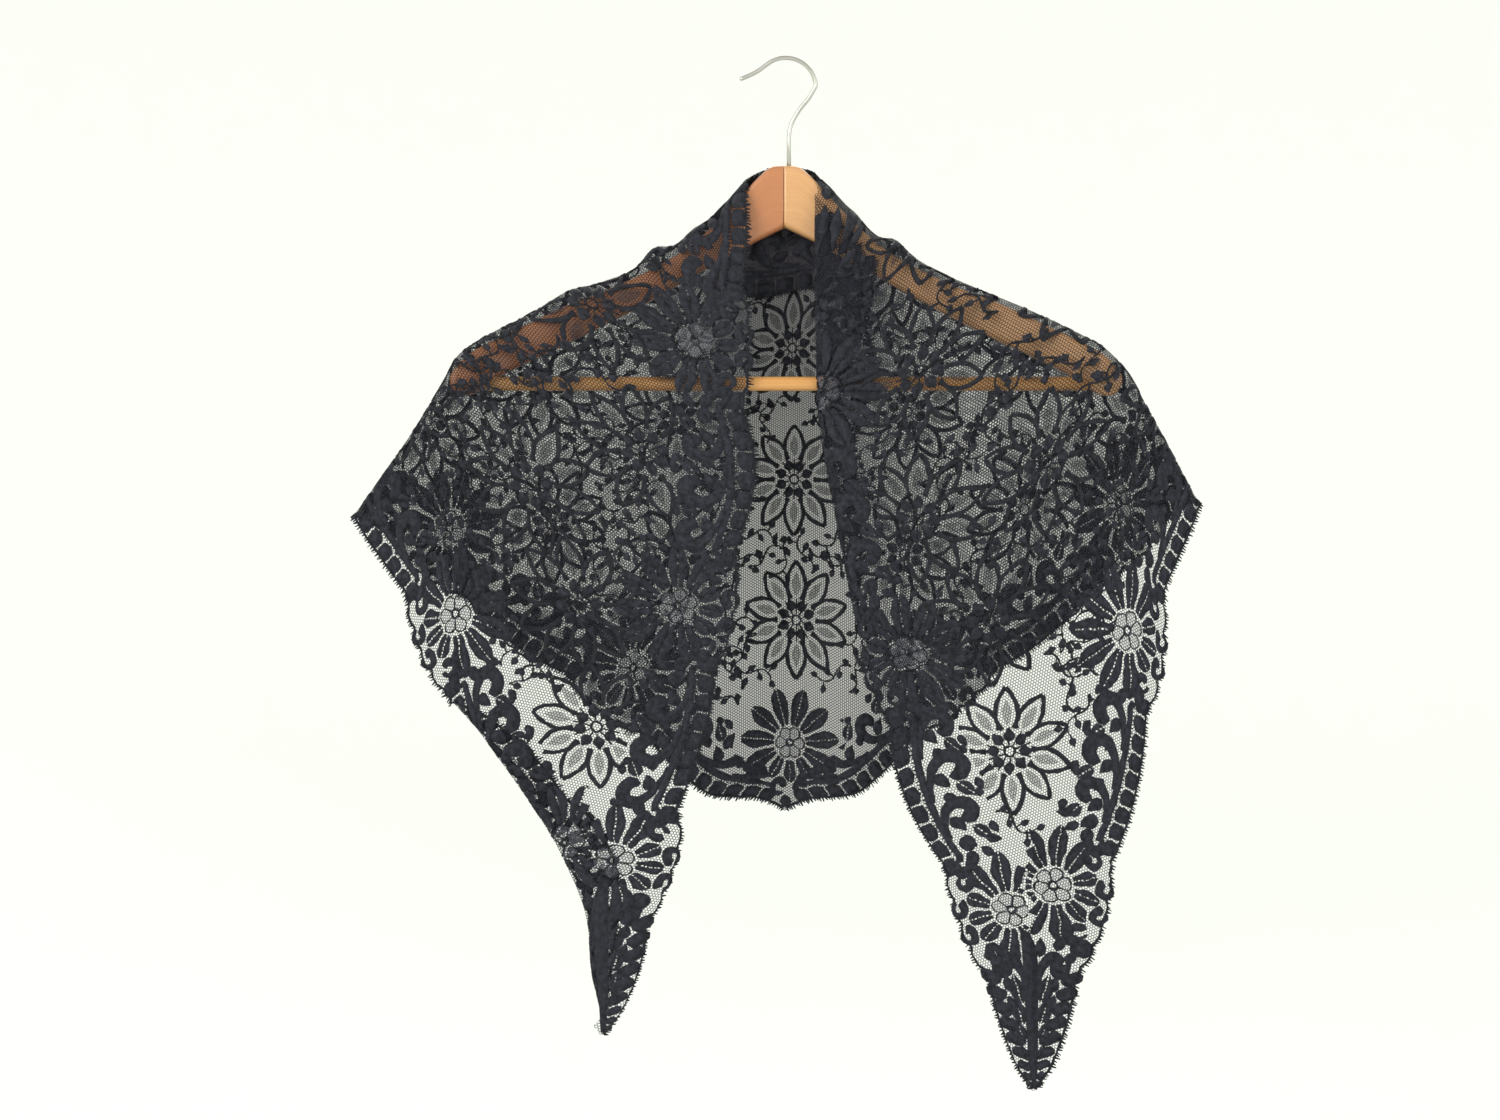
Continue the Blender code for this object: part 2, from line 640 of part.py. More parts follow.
def front_hem_border(side):
    """Flat grid of the border up the hem of a front, as far as it isn't turned in."""
    inner, outer = front_hem_places(side)
    edge = hem_edge(outer)
    if side is LEFT:
        depth = left_hem_depth(outer)
        edge = np.where(depth > LEAST_TURN, depth + SEAM / 2, edge)
    return strip(
        hem_point(side.sign, outer, edge),
        hem_point(side.sign, inner, to_mitre(inner, HEM_HALF, INNER)),
    )


def front_edge_places(side):
    """Distances along the long edge of a front's border: of its inner and outer lines."""
    inner = on_to_tip(np.abs(front_field(side)[0][:, 0]), LONG_EDGE_HALF)
    start = abs(side.neck[0]) + SEAM / 2
    return inner, slid(inner, start - inner[0], 0.0)


def front_edge_border(side):
    """Flat grid of the border down the inner edge, as far as it isn't turned in."""
    inner, outer = front_edge_places(side)
    edge = long_edge(outer)
    if side is RIGHT:
        depth = right_edge_depth(outer)
        edge = np.where(depth > LEAST_TURN, depth + SEAM / 2, edge)
    start, tip = field_start(side), field_tip(side)
    line = np.interp(inner, np.abs([start[0], tip[0]]), [start[1], tip[1]]) - SEAM / 2
    return strip(
        (side.sign * outer, edge), (side.sign * inner, to_mitre(inner, LONG_EDGE_HALF, line))
    )


def left_turned_hem():
    """The hem turned in behind the left tip."""
    _, along = front_hem_places(LEFT)
    along = along[left_hem_depth(along) > LEAST_TURN][:, None]
    depth = left_hem_depth(along)
    reach = lerp(SEAM / 2, depth + scallop(along, HEM_REPEAT), REACH_SHARES[None])

    def surface(place, inward):
        return hung_front(LEFT, *hem_point(LEFT.sign, place, inward))

    return turned(surface, along + 0.0 * reach, reach, depth + 0.0 * reach)


def right_turned_edge():
    """The long edge turned in behind the right front, from below the arm to its end."""
    first, last = RIGHT_EDGE_TURN
    slope = (first.depth - last.depth) / (last.along - first.along)
    _, crest, _ = flat_frame(RIGHT.neck, RIGHT.corner, RIGHT.tip)
    rise = crest[1] / crest[0] + slope
    share = np.linspace(0.0, 1.0, round((last.along - first.along) / BORDER_CELL))[:, None]
    _, places = front_edge_places(RIGHT)
    end = places[right_edge_depth(places) > LEAST_TURN][-1]
    clear = TURNED_EDGE_CLEAR * math.hypot(1.0, crest[1] / crest[0])
    longest = first.depth * REACH_SHARES[None]
    start = first.along + (clear + np.maximum(longest - TURN_LENGTH, 0.0)) / rise
    along = lerp(start, end, share)
    depth = right_edge_depth(along)
    reach = lerp(SEAM / 2, depth + scallop(along, LONG_EDGE_REPEAT), REACH_SHARES[None])

    def surface(place, inward):
        return hung_front(RIGHT, place, inward)

    return turned(surface, along, reach, depth)


def neck_turnover():
    """The long edge turned down behind the neck: a tight roll at the crest, then down
    between the wood and the back, its foot waved like the border's edge."""
    share = np.linspace(0.0, 1.0, FLAP_COLUMNS + 1)[None]
    foot = FLAP_FOOT + FLAP_WAVE * np.cos(FLAP_WAVES * math.pi * share)
    top = NECK_LINE[2].z
    heights, lefts, rights = np.array(NECK_FLAP).T
    even = np.linspace(0.0, 1.0, FLAP_ROWS + 1)[1:] * (top - FLAP_FOOT)
    reach = np.concatenate([NECK_REACHES, even])[:, None]
    down, out = roll(reach, NECK_ROLL)
    z = top - down * lerp(1.0, (top - foot) / (top - FLAP_FOOT), ease(reach / even[-1]))
    x = lerp(spline(heights, lefts, z), spline(heights, rights, z), share)
    y = sweep(x) + NECK_CREST_Y - out
    return np.stack([x, y, z], axis=-1)


def make_material(name, colour, roughness, metallic=0.0):
    made = bpy.data.materials.new(name)
    made.use_nodes = True
    shader = made.node_tree.nodes["Principled BSDF"]
    shader.inputs["Base Color"].default_value = (*colour, 1.0)
    shader.inputs["Roughness"].default_value = roughness
    shader.inputs["Metallic"].default_value = metallic
    return made


def add_object(name, data, collection, material):
    made = bpy.data.objects.new(name, data)
    data.materials.append(material)
    collection.objects.link(made)
    return made


def add_mesh(name, points, faces, collection, material):
    mesh = bpy.data.meshes.new(name)
    mesh.from_pydata((np.reshape(points, (-1, 3)) * MILLIMETRE).tolist(), [], faces)
    return add_object(name, mesh, collection, material)


def add_cloth(name, points, collection, material):
    """A stretch of cloth: the grid of hung points, with half of the wall on each side."""
    index = np.arange(points.shape[0] * points.shape[1]).reshape(points.shape[:2])
    around = [index[:-1, :-1], index[:-1, 1:], index[1:, 1:], index[1:, :-1]]
    faces = np.stack(around, axis=-1).reshape(-1, 4).tolist()
    cloth = add_mesh(name, points, faces, collection, material)
    wall = cloth.modifiers.new("wall", "SOLIDIFY")
    wall.thickness = CLOTH_WALL * MILLIMETRE
    wall.offset = 0.0
    return cloth


def arm_ring(x, arm):
    """Ring of points of one arm section: a rectangle with round corners, at x."""
    half = arm[2] / 2
    radius = min(ARM_CORNER, 0.45 * arm[2], 0.45 * (arm[0] - arm[1]))
    middle = float(sweep(x))
    ring = []
    for corner in range(4):
        side = (1, -1, -1, 1)[corner]
        level = (arm[0] - radius, arm[0] - radius, arm[1] + radius, arm[1] + radius)[corner]
        for turn in np.linspace(0.0, math.pi / 2, CORNER_POINTS):
            angle = corner * math.pi / 2 + turn
            y = middle + side * (half - radius) + radius * math.cos(angle)
            ring.append((x, y, level + radius * math.sin(angle)))
    return ring


def add_arm(name, sign, collection, material):
    """An arm: a loft through sections that change in height and thickness."""
    knots = [arm.x for arm in ARM_SECTIONS]
    sizes = [(arm.top, arm.bottom, arm.thickness) for arm in ARM_SECTIONS]
    near_ends = 0.5 - 0.5 * np.cos(np.linspace(0.0, math.pi, ARM_STATIONS))
    stations = ARM_REACH * lerp(np.linspace(0.0, 1.0, ARM_STATIONS), near_ends, 0.6)
    rings = []
    for station in stations:
        x = sign * station if station > 0 else MITRE_X + sign * MITRE_GAP / 2
        rings.append(arm_ring(x, spline(knots, sizes, station)))
    count = len(rings[0])
    made = bmesh.new()
    rows = [[made.verts.new(np.array(point) * MILLIMETRE) for point in ring] for ring in rings]
    for near, far in zip(rows[:-1], rows[1:]):
        for i in range(count):
            made.faces.new((near[i], near[(i + 1) % count], far[(i + 1) % count], far[i]))
    made.faces.new(rows[0])
    made.faces.new(rows[-1])
    bmesh.ops.recalc_face_normals(made, faces=made.faces)
    mesh = bpy.data.meshes.new(name)
    made.to_mesh(mesh)
    made.free()
    return add_object(name, mesh, collection, material)


def add_rod(name, radius, length, centre, turn, collection, material, sides=24):
    bpy.ops.mesh.primitive_cylinder_add(
        vertices=sides,
        radius=radius * MILLIMETRE,
        depth=length * MILLIMETRE,
        location=[value * MILLIMETRE for value in centre],
        rotation=(0.0, turn, 0.0),
    )
    rod = bpy.context.active_object
    rod.name = name
    for linked in list(rod.users_collection):
        linked.objects.unlink(rod)
    collection.objects.link(rod)
    rod.data.materials.append(material)
    return rod


def hook_path():
    """Middle line of the wire: up the shank, out to the right, over the top, and a tail."""
    arc = np.radians(np.linspace(HOOK_ARC_FROM, HOOK_ARC_TO, 19))
    over = np.stack(
        [HOOK_CENTRE_X + HOOK_RADIUS * np.cos(arc),
         WIRE_RADIUS - HOOK_RADIUS + HOOK_RADIUS * np.sin(arc)],
        axis=-1,
    )
    neck = curve(HOOK_NECK + [Point(*over[0])], np.linspace(0.0, 1.0, 12))
    tail = curve([Point(*over[-1])] + HOOK_TAIL, np.linspace(0.0, 1.0, 5))
    foot = np.array([[SHANK_X, SHANK_FOOT]])
    return np.concatenate([foot, neck, over[1:], tail[1:]])


def add_hook(collection, material):
    wire = bpy.data.curves.new("hanger_hook", "CURVE")
    wire.dimensions = "3D"
    wire.bevel_depth = WIRE_RADIUS * MILLIMETRE
    wire.bevel_resolution = 2
    wire.use_fill_caps = True
    path = hook_path()
    spline_of_wire = wire.splines.new("POLY")
    spline_of_wire.points.add(len(path) - 1)
    for point, (x, z) in zip(spline_of_wire.points, path):
        point.co = (x * MILLIMETRE, 0.0, z * MILLIMETRE, 1.0)
    return add_object("hanger_hook", wire, collection, material)


def cut(body, cutter):
    bore = body.modifiers.new(cutter.name, "BOOLEAN")
    bore.operation = "DIFFERENCE"
    bore.solver = "EXACT"
    bore.object = cutter


def build_hanger(collection, cutters, wood, wood_bar, steel):
    left = add_arm("hanger_arm_left", -1, collection, wood)
    right = add_arm("hanger_arm_right", 1, collection, wood)
    middle = (0.0, BAR_Y, BAR_Z)
    level = math.pi / 2
    add_rod("hanger_bar", BAR_RADIUS, 2 * BAR_HALF_LENGTH, middle, level, collection, wood_bar)
    bar_bore = add_rod(
        "bar_bore", BAR_RADIUS + BORE_GAP, 2 * (BAR_HALF_LENGTH + BORE_GAP), middle, level,
        cutters, wood,
    )
    bore_foot = SHANK_FOOT - BORE_GAP
    bore_top = ARM_SECTIONS[0].top + 10.0
    hook_bore = add_rod(
        "hook_bore", WIRE_RADIUS + BORE_GAP, bore_top - bore_foot,
        (SHANK_X, 0.0, (bore_top + bore_foot) / 2), 0.0, cutters, wood, 16,
    )
    for cutter in (bar_bore, hook_bore):
        cutter.hide_render = True
        cutter.display_type = "WIRE"
    cut(left, bar_bore)
    cut(right, bar_bore)
    cut(right, hook_bore)
    add_hook(collection, steel)


def build_cloth(collection, ground, border):
    add_cloth("back_panel", hung_back(*back_field()), collection, ground)
    add_cloth("neck_turnover", neck_turnover(), collection, border)
    add_cloth("left_turned_hem", left_turned_hem(), collection, border)
    add_cloth("right_turned_edge", right_turned_edge(), collection, border)
    for side in (LEFT, RIGHT):
        pieces = [
            (f"back_hem_border_{side.name}", hung_back(*back_hem_border(side)), border),
            (f"{side.name}_front", hung_front(side, *front_field(side)), ground),
            (f"{side.name}_edge_border", hung_front(side, *front_edge_border(side)), border),
            (f"{side.name}_hem_border", hung_front(side, *front_hem_border(side)), border),
        ]
        for name, points, material in pieces:
            add_cloth(name, points, collection, material)


def main():
    for leftover in list(bpy.data.objects):
        bpy.data.objects.remove(leftover)
    collection = bpy.data.collections.new("mantilla_on_hanger")
    cutters = bpy.data.collections.new("cutters")
    for group in (collection, cutters):
        bpy.context.scene.collection.children.link(group)
    cutters.hide_render = True
    ground = make_material("black lace ground", (0.012, 0.012, 0.014), 0.8)
    border = make_material("black lace border", (0.008, 0.008, 0.010), 0.8)
    wood = make_material("lacquered beech", (0.55, 0.27, 0.12), 0.35)
    wood_bar = make_material("lacquered beech bar", (0.62, 0.34, 0.13), 0.35)
    steel = make_material("bright steel wire", (0.60, 0.60, 0.60), 0.25, 1.0)
    build_cloth(collection, ground, border)
    build_hanger(collection, cutters, wood, wood_bar, steel)


main()
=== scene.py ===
"""A black lace mantilla on a wooden clothes hanger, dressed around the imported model.

The cloth is worked out flat and then hung. A flat point (a, b) lies a along the long edge
of the triangle from its middle, and b square to it, in millimetres. The lace is a fine net
sheet with the pattern's threads laid on it: outline cords, dense clothwork and half-tone
clothwork, each drawn flat as bands and leaves and hung by the same functions as the net.
"""

import math
from collections import namedtuple

import bmesh
import bpy
import numpy as np
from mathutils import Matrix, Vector


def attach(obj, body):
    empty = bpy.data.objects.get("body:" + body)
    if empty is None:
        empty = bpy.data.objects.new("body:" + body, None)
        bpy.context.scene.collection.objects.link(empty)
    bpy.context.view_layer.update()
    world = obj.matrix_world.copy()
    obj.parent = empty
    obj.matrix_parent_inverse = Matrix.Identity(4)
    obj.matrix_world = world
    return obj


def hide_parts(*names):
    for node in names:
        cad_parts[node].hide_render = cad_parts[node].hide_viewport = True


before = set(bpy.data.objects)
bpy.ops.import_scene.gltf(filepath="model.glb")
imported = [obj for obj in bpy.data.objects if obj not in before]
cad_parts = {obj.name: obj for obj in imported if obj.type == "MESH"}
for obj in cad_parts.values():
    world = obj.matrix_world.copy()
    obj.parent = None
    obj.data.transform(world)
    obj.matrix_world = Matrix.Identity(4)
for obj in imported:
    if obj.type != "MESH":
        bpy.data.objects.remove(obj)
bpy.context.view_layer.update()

MILLIMETRE = 0.001


def listed(kind, *rows):
    """A list of named rows of one kind."""
    return [kind(*row) for row in rows]


# The flat cut
LONG_EDGE_HALF = 650.0
CLOTH_DEPTH = 535.0
HEM_HALF = math.hypot(LONG_EDGE_HALF, CLOTH_DEPTH)
HEM_RUN = LONG_EDGE_HALF / HEM_HALF
HEM_RISE = CLOTH_DEPTH / HEM_HALF
BORDER = 45.0
CORNER_ON_HEM = 425.0
BACK_POINT_CUT = 22.0
BACK_POINT_ROUND = 62.0
TIP_CUT = 2.0
TIP_ROUND = 25.0
TIP_WIDTH = 1.2
FIELD_TIP_CUT = 2.5
SLIDE_LENGTH = 150.0
POINT_SLOPE = CLOTH_DEPTH / LONG_EDGE_HALF
TIP_SLOPE = (1.0 + HEM_RUN) / HEM_RISE
LONG_EDGE_REPEAT = 175.0
HEM_REPEAT = 178.0
FLOWER_HALF = 40.0
SCALLOP_FLOWER = 8.0
SCALLOP_PLAIN = 6.0
SCALLOP_NOTCH = 3.0
LOBE_WIDTH = 16.0
LOBE_NOTCH = 2.6

# The fold of a turned edge, and the cells of the net's grids
PULL_FLOOR = 0.55
TURN_RADIUS = 1.6
TURN_LENGTH = math.pi * TURN_RADIUS
FIELD_CELL = 4.5
BORDER_CELL = 4.0
BORDER_ROWS = 11

# The hanger
ARM_REACH = 222.0
ARM_SWEEP = 45.0
SWEEP_POWER = 1.6
SWEEP_TAIL = 30.0
ARM_CORNER = 4.5
ARM_STATIONS = 90
CORNER_POINTS = 9
MITRE_X = -1.0
MITRE_GAP = 0.3
BAR_RADIUS = 4.7
BAR_Z = -222.5
BAR_Y = -41.0
BAR_HALF_LENGTH = 211.0
WIRE_RADIUS = 1.5
SHANK_X = 2.6
SHANK_FOOT = -87.0
HOOK_RADIUS = 20.5
HOOK_CENTRE_X = 0.5
HOOK_ARC_FROM = 4.0
HOOK_ARC_TO = 124.0

# How the cloth lies on the hanger
ROLL_RADIUS = 11.2
CORNER_ROLL = 5.0
ROLL_NARROWS_FROM = 212.0
ROLL_NARROWS_OVER = 60.0
FRONT_OF_BAR = -50.6
LEAST_DROP = 25.0
LEAN_BEGINS = 14.0
LEAN_EASING = 0.4
FOLD_GROWS_OVER = 115.0
FOLD_MIDDLE_Z = -400.0
FOLD_MIDDLE_B = 300.0
ROLL_FADE = 200.0
BACK_PULL_FADE = 190.0
BACK_POINT_Z = -539.0
BACK_FALL = 0.98
BACK_NARROW = 0.871
BACK_NARROW_RIGHT = 0.017
BACK_DROP = 0.086
BACK_DROP_RIGHT = 0.012
BACK_CENTRE_ROUND = 20.0
BACK_CENTRE_WIDTH = 60.0
NECK_CREST_Y = 9.2
NECK_RISE = 26.0
NECK_ROLL = 1.1
TURNED_EDGE_CLEAR = 14.0
NECK_BORDER = 17.0

Arm = namedtuple("Arm", "x top bottom thickness")
ARM_SECTIONS = listed(
    Arm, (0.0, -72, -114, 13.0), (10.3, -73.5, -119, 13.0), (18.5, -80.5, -123, 13.0),
    (30.8, -94, -130, 13.0), (46.2, -110.5, -138.5, 13.0), (63.6, -126.5, -148.5, 13.0),
    (87.0, -141.5, -162.5, 13.0), (112.2, -154.5, -176.5, 13.0), (142.3, -167, -192.5, 13.0),
    (172.0, -182, -207.5, 13.0), (191.6, -192, -218.5, 13.0), (204.3, -199, -228, 13.0),
    (213.5, -206, -230.5, 12.8), (219.3, -212.5, -228.5, 11.0), (222.0, -217, -224, 8.0),
)

Point = namedtuple("Point", "x z")
# The crest of the cloth from the neck, out over the arm and down to the side corner
RIDGE_LEFT = listed(
    Point, (-27, -81.5), (-45.5, -102.5), (-64, -119), (-81.5, -131.5), (-103.5, -144.5),
    (-124, -153), (-149, -163), (-173.5, -176.5), (-204, -193.5), (-217.5, -204), (-225.5, -219),
    (-242, -247.5), (-283.5, -308.5),
)
RIDGE_RIGHT = listed(
    Point, (19, -76), (33.5, -90), (48, -106.5), (64, -122), (82.5, -132.5), (100.5, -143.5),
    (122.5, -154), (162.5, -172), (190, -186), (213, -200), (224.5, -213), (238, -237.5),
    (270.5, -299.5),
)
# The crest behind the neck, between the two fronts
NECK_LINE = listed(Point, (-27, -81.5), (-15.5, -74), (-3.5, -72), (9, -72), (19, -76))
# The visible inner edge of each front, from the neck to the tip
EDGE_LEFT = listed(
    Point, (-27, -82), (-25, -157.5), (-26, -229.5), (-22, -279.5), (-32, -339.5), (-42, -399.5),
    (-53, -445.5), (-66, -489.5), (-73, -529.5), (-86, -569.5), (-98, -609.5), (-121, -660.5),
)
EDGE_RIGHT = listed(
    Point, (19, -76.5), (18.5, -125), (19, -188.5), (22, -249.5), (34, -313.5), (49, -384.5),
    (62, -431.5), (70, -464.5), (84, -504.5), (106, -549.5), (133, -621.5), (164, -698.5),
)

Bow = namedtuple("Bow", "share out")
# How far the hem of each front bows out from the straight line between corner and tip
HEM_BOW_LEFT = listed(Bow, (0, 0), (0.12, -6), (0.3, -4), (0.6, 0), (1, 0))
HEM_BOW_RIGHT = listed(Bow, (0, 0), (0.14, -5), (0.3, 4), (0.75, 8), (1, 0))
BOW_DOWN = -0.35
BOW_OUT = 0.92

Turn = namedtuple("Turn", "along depth")
# Depth of the long edge turned in behind the right front, by place along that edge
RIGHT_EDGE_TURN = listed(Turn, (25, 55.3), (375, 0))
# Depth of the hem turned in behind the left tip, by place along the hem from the back point
LEFT_HEM_TURN = listed(
    Turn, (560, 0), (610, 15), (660, 24), (715, 28), (755, 24), (790, 13), (822, 6.5), (840, 0),
)
LEAST_TURN = 6.0

Ruffle = namedtuple("Ruffle", "along lift width")
# Small standing waves of slack on the crest, by distance along it from the neck
RUFFLES_LEFT = listed(Ruffle, (55, 2.5, 9), (89, 7.5, 11), (156, 2.5, 16))
RUFFLES_RIGHT = listed(Ruffle, (45, 2, 8), (81, 5.5, 10))
RUFFLE_FADE = 20.0

Fold = namedtuple("Fold", "place lean width depth start")
# Hanging folds of the back: place and lean along the long edge, depth towards the back
BACK_FOLDS = listed(
    Fold, (-262, -6, 24, 7, 12), (-205, -10, 22, -6, 10), (-142, 6, 27, 9, 18),
    (-78, 4, 25, -8, 12), (-14, 3, 24, 7, 20), (48, -4, 26, -8, 16), (112, 5, 27, 9, 10),
    (172, 8, 23, -6, 18), (238, 4, 27, 8, 12),
)
# Hanging folds of the fronts, below the bar: place and lean in x, depth towards the front
FRONT_FOLDS = listed(
    Fold, (-225, 9, 17, 3, -250), (-188, 12, 19, 6, -235), (-140, 12, 18, -5, -300),
    (-102, 4, 17, 6, -260), (-66, -3, 16, -4, -330), (-38, -4, 15, 4, -270), (42, 6, 16, 4, -290),
    (84, 8, 18, -5, -240), (128, 10, 19, 7, -270), (178, -4, 18, -5, -320), (212, -6, 16, 5, -300),
    (236, -6, 15, -3, -260),
)

Flap = namedtuple("Flap", "z left right")
# The stretch of long edge turned down behind the neck, by height
NECK_FLAP = listed(
    Flap, (-157, -51, 55), (-139, -47, 47), (-120, -41, 35), (-96, -20, 9), (-72, -12, 1),
)
FLAP_FOOT = -158.5
FLAP_WAVE = 3.0
FLAP_WAVES = 3.0

# The wire's middle line, from the top of the shank to the arc and from the arc to its end
HOOK_NECK = listed(Point, (SHANK_X, -53.5), (3.4, -46.5), (9.3, -34.5), (16, -26))
HOOK_TAIL = listed(Point, (-19, -7.8), (-31, -13.4))

TURN_SHARES = np.array([
    0.0, 0.02, 0.04, 0.06, 0.08, 0.1, 0.13, 0.2, 0.32, 0.45, 0.6, 0.75, 0.88, 1.0
])
BACK, LEFT_FRONT, RIGHT_FRONT, NO_STRETCH = range(4)
FLAP_LENGTH = NECK_LINE[2].z - FLAP_FOOT
FLAP_WIDTH = 106.0

# The pattern: a dictionary of flat shapes by kind of thread
KINDS = ("cord", "dense", "tone", "rosette")
Shape = namedtuple("Shape", "points faces")
CORD = 2.7
FINE_CORD = 0.9
EDGE_CORD = 1.6
VINE = 1.2
WANDER = 0.28
NET_PITCH = 1.9
FLOSS_RELIEF = 0.12
WORN = 3.5
# Half the step between the floss's slanted ridges along either flat axis: on the cloth,
# and in metres in the wave texture at a scale of 1
FLOSS = 0.9
FLOSS_WAVE = math.pi / 10
# The light line of a split motif, and the bars across it
SPLIT = 0.8
LEAST_THREAD = 0.05
BAR = 1.0
BAR_LAP = 0.3
BAR_STEP = 2.5
BARS_FROM = 2.0
BARS_TO = 1.0
CURL_FROM = -60.0
CURL_TO = 262.0
# A face that a jump between stretches makes longer than this is left out
STRETCH = 1.5
# Each run of threads lies a little above the net, by a share of the most
MOST_LIFT = 0.45
LIFT_WAY = np.array([0.0, -0.8, 0.6])
GOLDEN_SHARE = 0.618034
GOLDEN_ANGLE = 2.399963

# The field's flowers and sprigs
PETALS = 10
PETAL_FROM = 14.5
PETAL_TO = 41.0
PETAL_WIDTH = 14.6
PETAL_VEIN = (4.2, 8.0, 15.0)
HEARTS = 8
SPRIG_LENGTH = 27.0
SPRIG_WAVE = 3.4
SPRIG_REACH = 560.0
SPRIGS_FROM = 40.0
SPRIGS_TO = 500.0
SPRIG_STEP = 16.0
SPRIG_CLEAR = 44.5
SPRIG_LIMIT = 478.0
Clear = namedtuple("Clear", "start end depth")
NECK_CLEAR = Clear(26.0, 104.0, 92.0)
NECK_CURL = (46.0, 62.0, 1.2)

# The border's flowers, blocks and edge
ROSETTE = 11.2
ROSETTE_EYE = 2.6
ROSETTE_VEIN = (2.0, 8.6)
LONG_PETALS = 11
LONG_PETAL = 39.0
SHORT_PETAL = 28.0
WIDEST_PETAL = 12.6
PETAL_GAP = 1.6
PETAL_END = 12.0
PETAL_END_SHARES = np.array([0.8, 0.6, 0.4, 0.25, 0.12, 0.04, 0.0])
CURLS_OUT = 32.0
FLOWER_CENTRE = 34.5
HEM_FLOWERS = (178.0, 356.0, 534.0, 700.0)
BLOCK_DEPTH = 10.5
BLOCK_STEP = 12.4
BLOCKS_PAST = 4.0
LINE_GAP = 1.1
DOT_LINE = 1.5
STEM = 4.8
STEM_GAP = 2.1
STEM_PAST = 3.0
PICOT_STEP = 2.0
PICOT = 3.0
PICOT_FOOT = 0.75
PICOT_END = 0.25
FOLLOWS_EDGE = 60.0
MITRE_LAP = 1.6
HALVES_LAP = 0.6
POINT_FLOWER_REACH = 42.0
POINT_CLEAR = 58.0
TIP_CORD_GAP = 3.5
LEFT_TIP_GAP = 24.0
LEFT_TIP_SIDE = -1.8
TIP_BLOCK_DEPTH = 13.5
TIP_BLOCK_WIDTH = 8.1

Flat = namedtuple("Flat", "x y")
# The middle line of a hook, and what makes the last one of a stretch smaller
HOOK_RISE = listed(
    Flat, (30, 17), (18, 18.6), (8, 22.6), (3, 29), (4.6, 36.5), (11, 38.8), (16, 35), (15.6, 29.8)
)
SMALL_HOOK = (0.8, 0.88)
SMALL_HOOK_SHIFT = (2.0, 1.6)
TIP_HOOK = listed(Flat, (-14, 5), (-6, 6), (2, 10), (5, 16), (0, 19.5))

Rib = namedtuple("Rib", "x y width")
TIP_RIB = listed(
    Rib, (10.5, 0, 3), (30, 0, 5.4), (60, 0, 8), (92, 0, 10), (104, 1.5, 9), (114, 3, 5)
)
TIP_BLOCKS = (14.0, 19.5, 26.5, 35.0, 44.5, 54.5, 64.5, 74.5, 84.5)
TipLeaf = namedtuple("TipLeaf", "place length")
TIP_LEAVES = listed(TipLeaf, (31, 9), (41, 14), (53, 18), (67, 20))

# Single leaves, discs and curls: sizes in the order that their function takes them, a
# place and a turn, and the end of the stretch (-1 or 1) that the place is measured from
Spot = namedtuple("Spot", "kind sizes x y turn end", defaults=(0.0, 0))
SHOULDER = listed(
    Spot, ("leaf", (13.0, 8.0, 0.7), 27.5, -24.5, 0.15), ("leaf", (13.0, 8.0, 0.7), 27.5, -24.5, 1.0),
    ("disc", (3.6,), 33.5, -14.5),
)
HOOK_HEADS = listed(
    Spot, ("leaf", (12.5, 8.0, 0.7), 12.5, 22.0, 0.55),
    ("split leaf", (14.0, 8.6, SPLIT, 0.7), 20.5, 33.0, 0.62), ("leaf", (9.0, 5.6), 20.0, 43.0, 0.25),
    ("leaf", (10.0, 6.6, 0.7), 25.5, 25.4, 0.35), ("disc", (3.0, 0.8), 1.0, 42.5),
)
STRETCH_ENDS = listed(
    Spot, ("disc", (5.2, 0.9), -2.0, 25.0, 0.0, -1), ("disc", (5.2, 0.9), 2.0, 23.0, 0.0, 1),
    ("disc", (5.2, 0.9), -7.5, 24.0, 0.0, 1), ("leaf", (11.0, 6.4), -4.0, 30.5, 0.8, 1),
    ("leaf", (11.0, 6.4), -9.0, 36.0, 1.3, 1), ("leaf", (11.0, 6.4), 1.0, 33.0, 1.9, -1),
)
TIP_OUTER_LEAVES = listed(
    Spot, ("leaf", (12.0, 7.0, 0.75), 74.0, 12.0, 0.4), ("leaf", (12.0, 7.0, 0.75), 61.0, 10.0, 0.4)
)
TIP_TOP = listed(
    Spot, ("leaf", (15.0, 8.6, 0.75), 83.0, 15.0, 0.15), ("leaf", (15.0, 8.6, 0.75), 83.0, 15.0, 0.75),
    ("leaf", (12.0, 7.0, 0.75), 93.0, 22.0, 0.6),
)
TIP_BESIDE = listed(
    Spot, ("leaf", (13.0, 7.6, 0.75), 97.0, -6.0, -0.1), ("leaf", (13.0, 7.6, 0.75), 101.0, -16.0, -0.5),
    ("leaf", (13.0, 7.6, 0.75), 99.0, -27.0, -0.9), ("curl", (4.4, 6.0), 104.0, -33.0, 2.6),
)

# The camera: the photograph's pixels are 0.66 mm on the plane of the fronts
PIXEL = 0.66
FRAME_PIXELS = 1500
CAMERA_AWAY = 1750.0
FRONT_PLANE_Y = -50.0
CAMERA_X = -23.8
CAMERA_Z = -339.4

# The painted shade on the back's net: full as far as the first flat place, none past the second, in
# metres
Fade = namedtuple("Fade", "full none")
PAINTED_SHADE_HALF = Fade(0.05, 0.12)
PAINTED_SHADE_DOWN = Fade(0.14, 0.4)

# The bowl round the piece, in metres
STAGE_FLOOR = 2.3
STAGE_ROUND = 1.2
STAGE_TOP = 4.2
STAGE_DROP = 1.5

Flower = namedtuple("Flower", "a b")
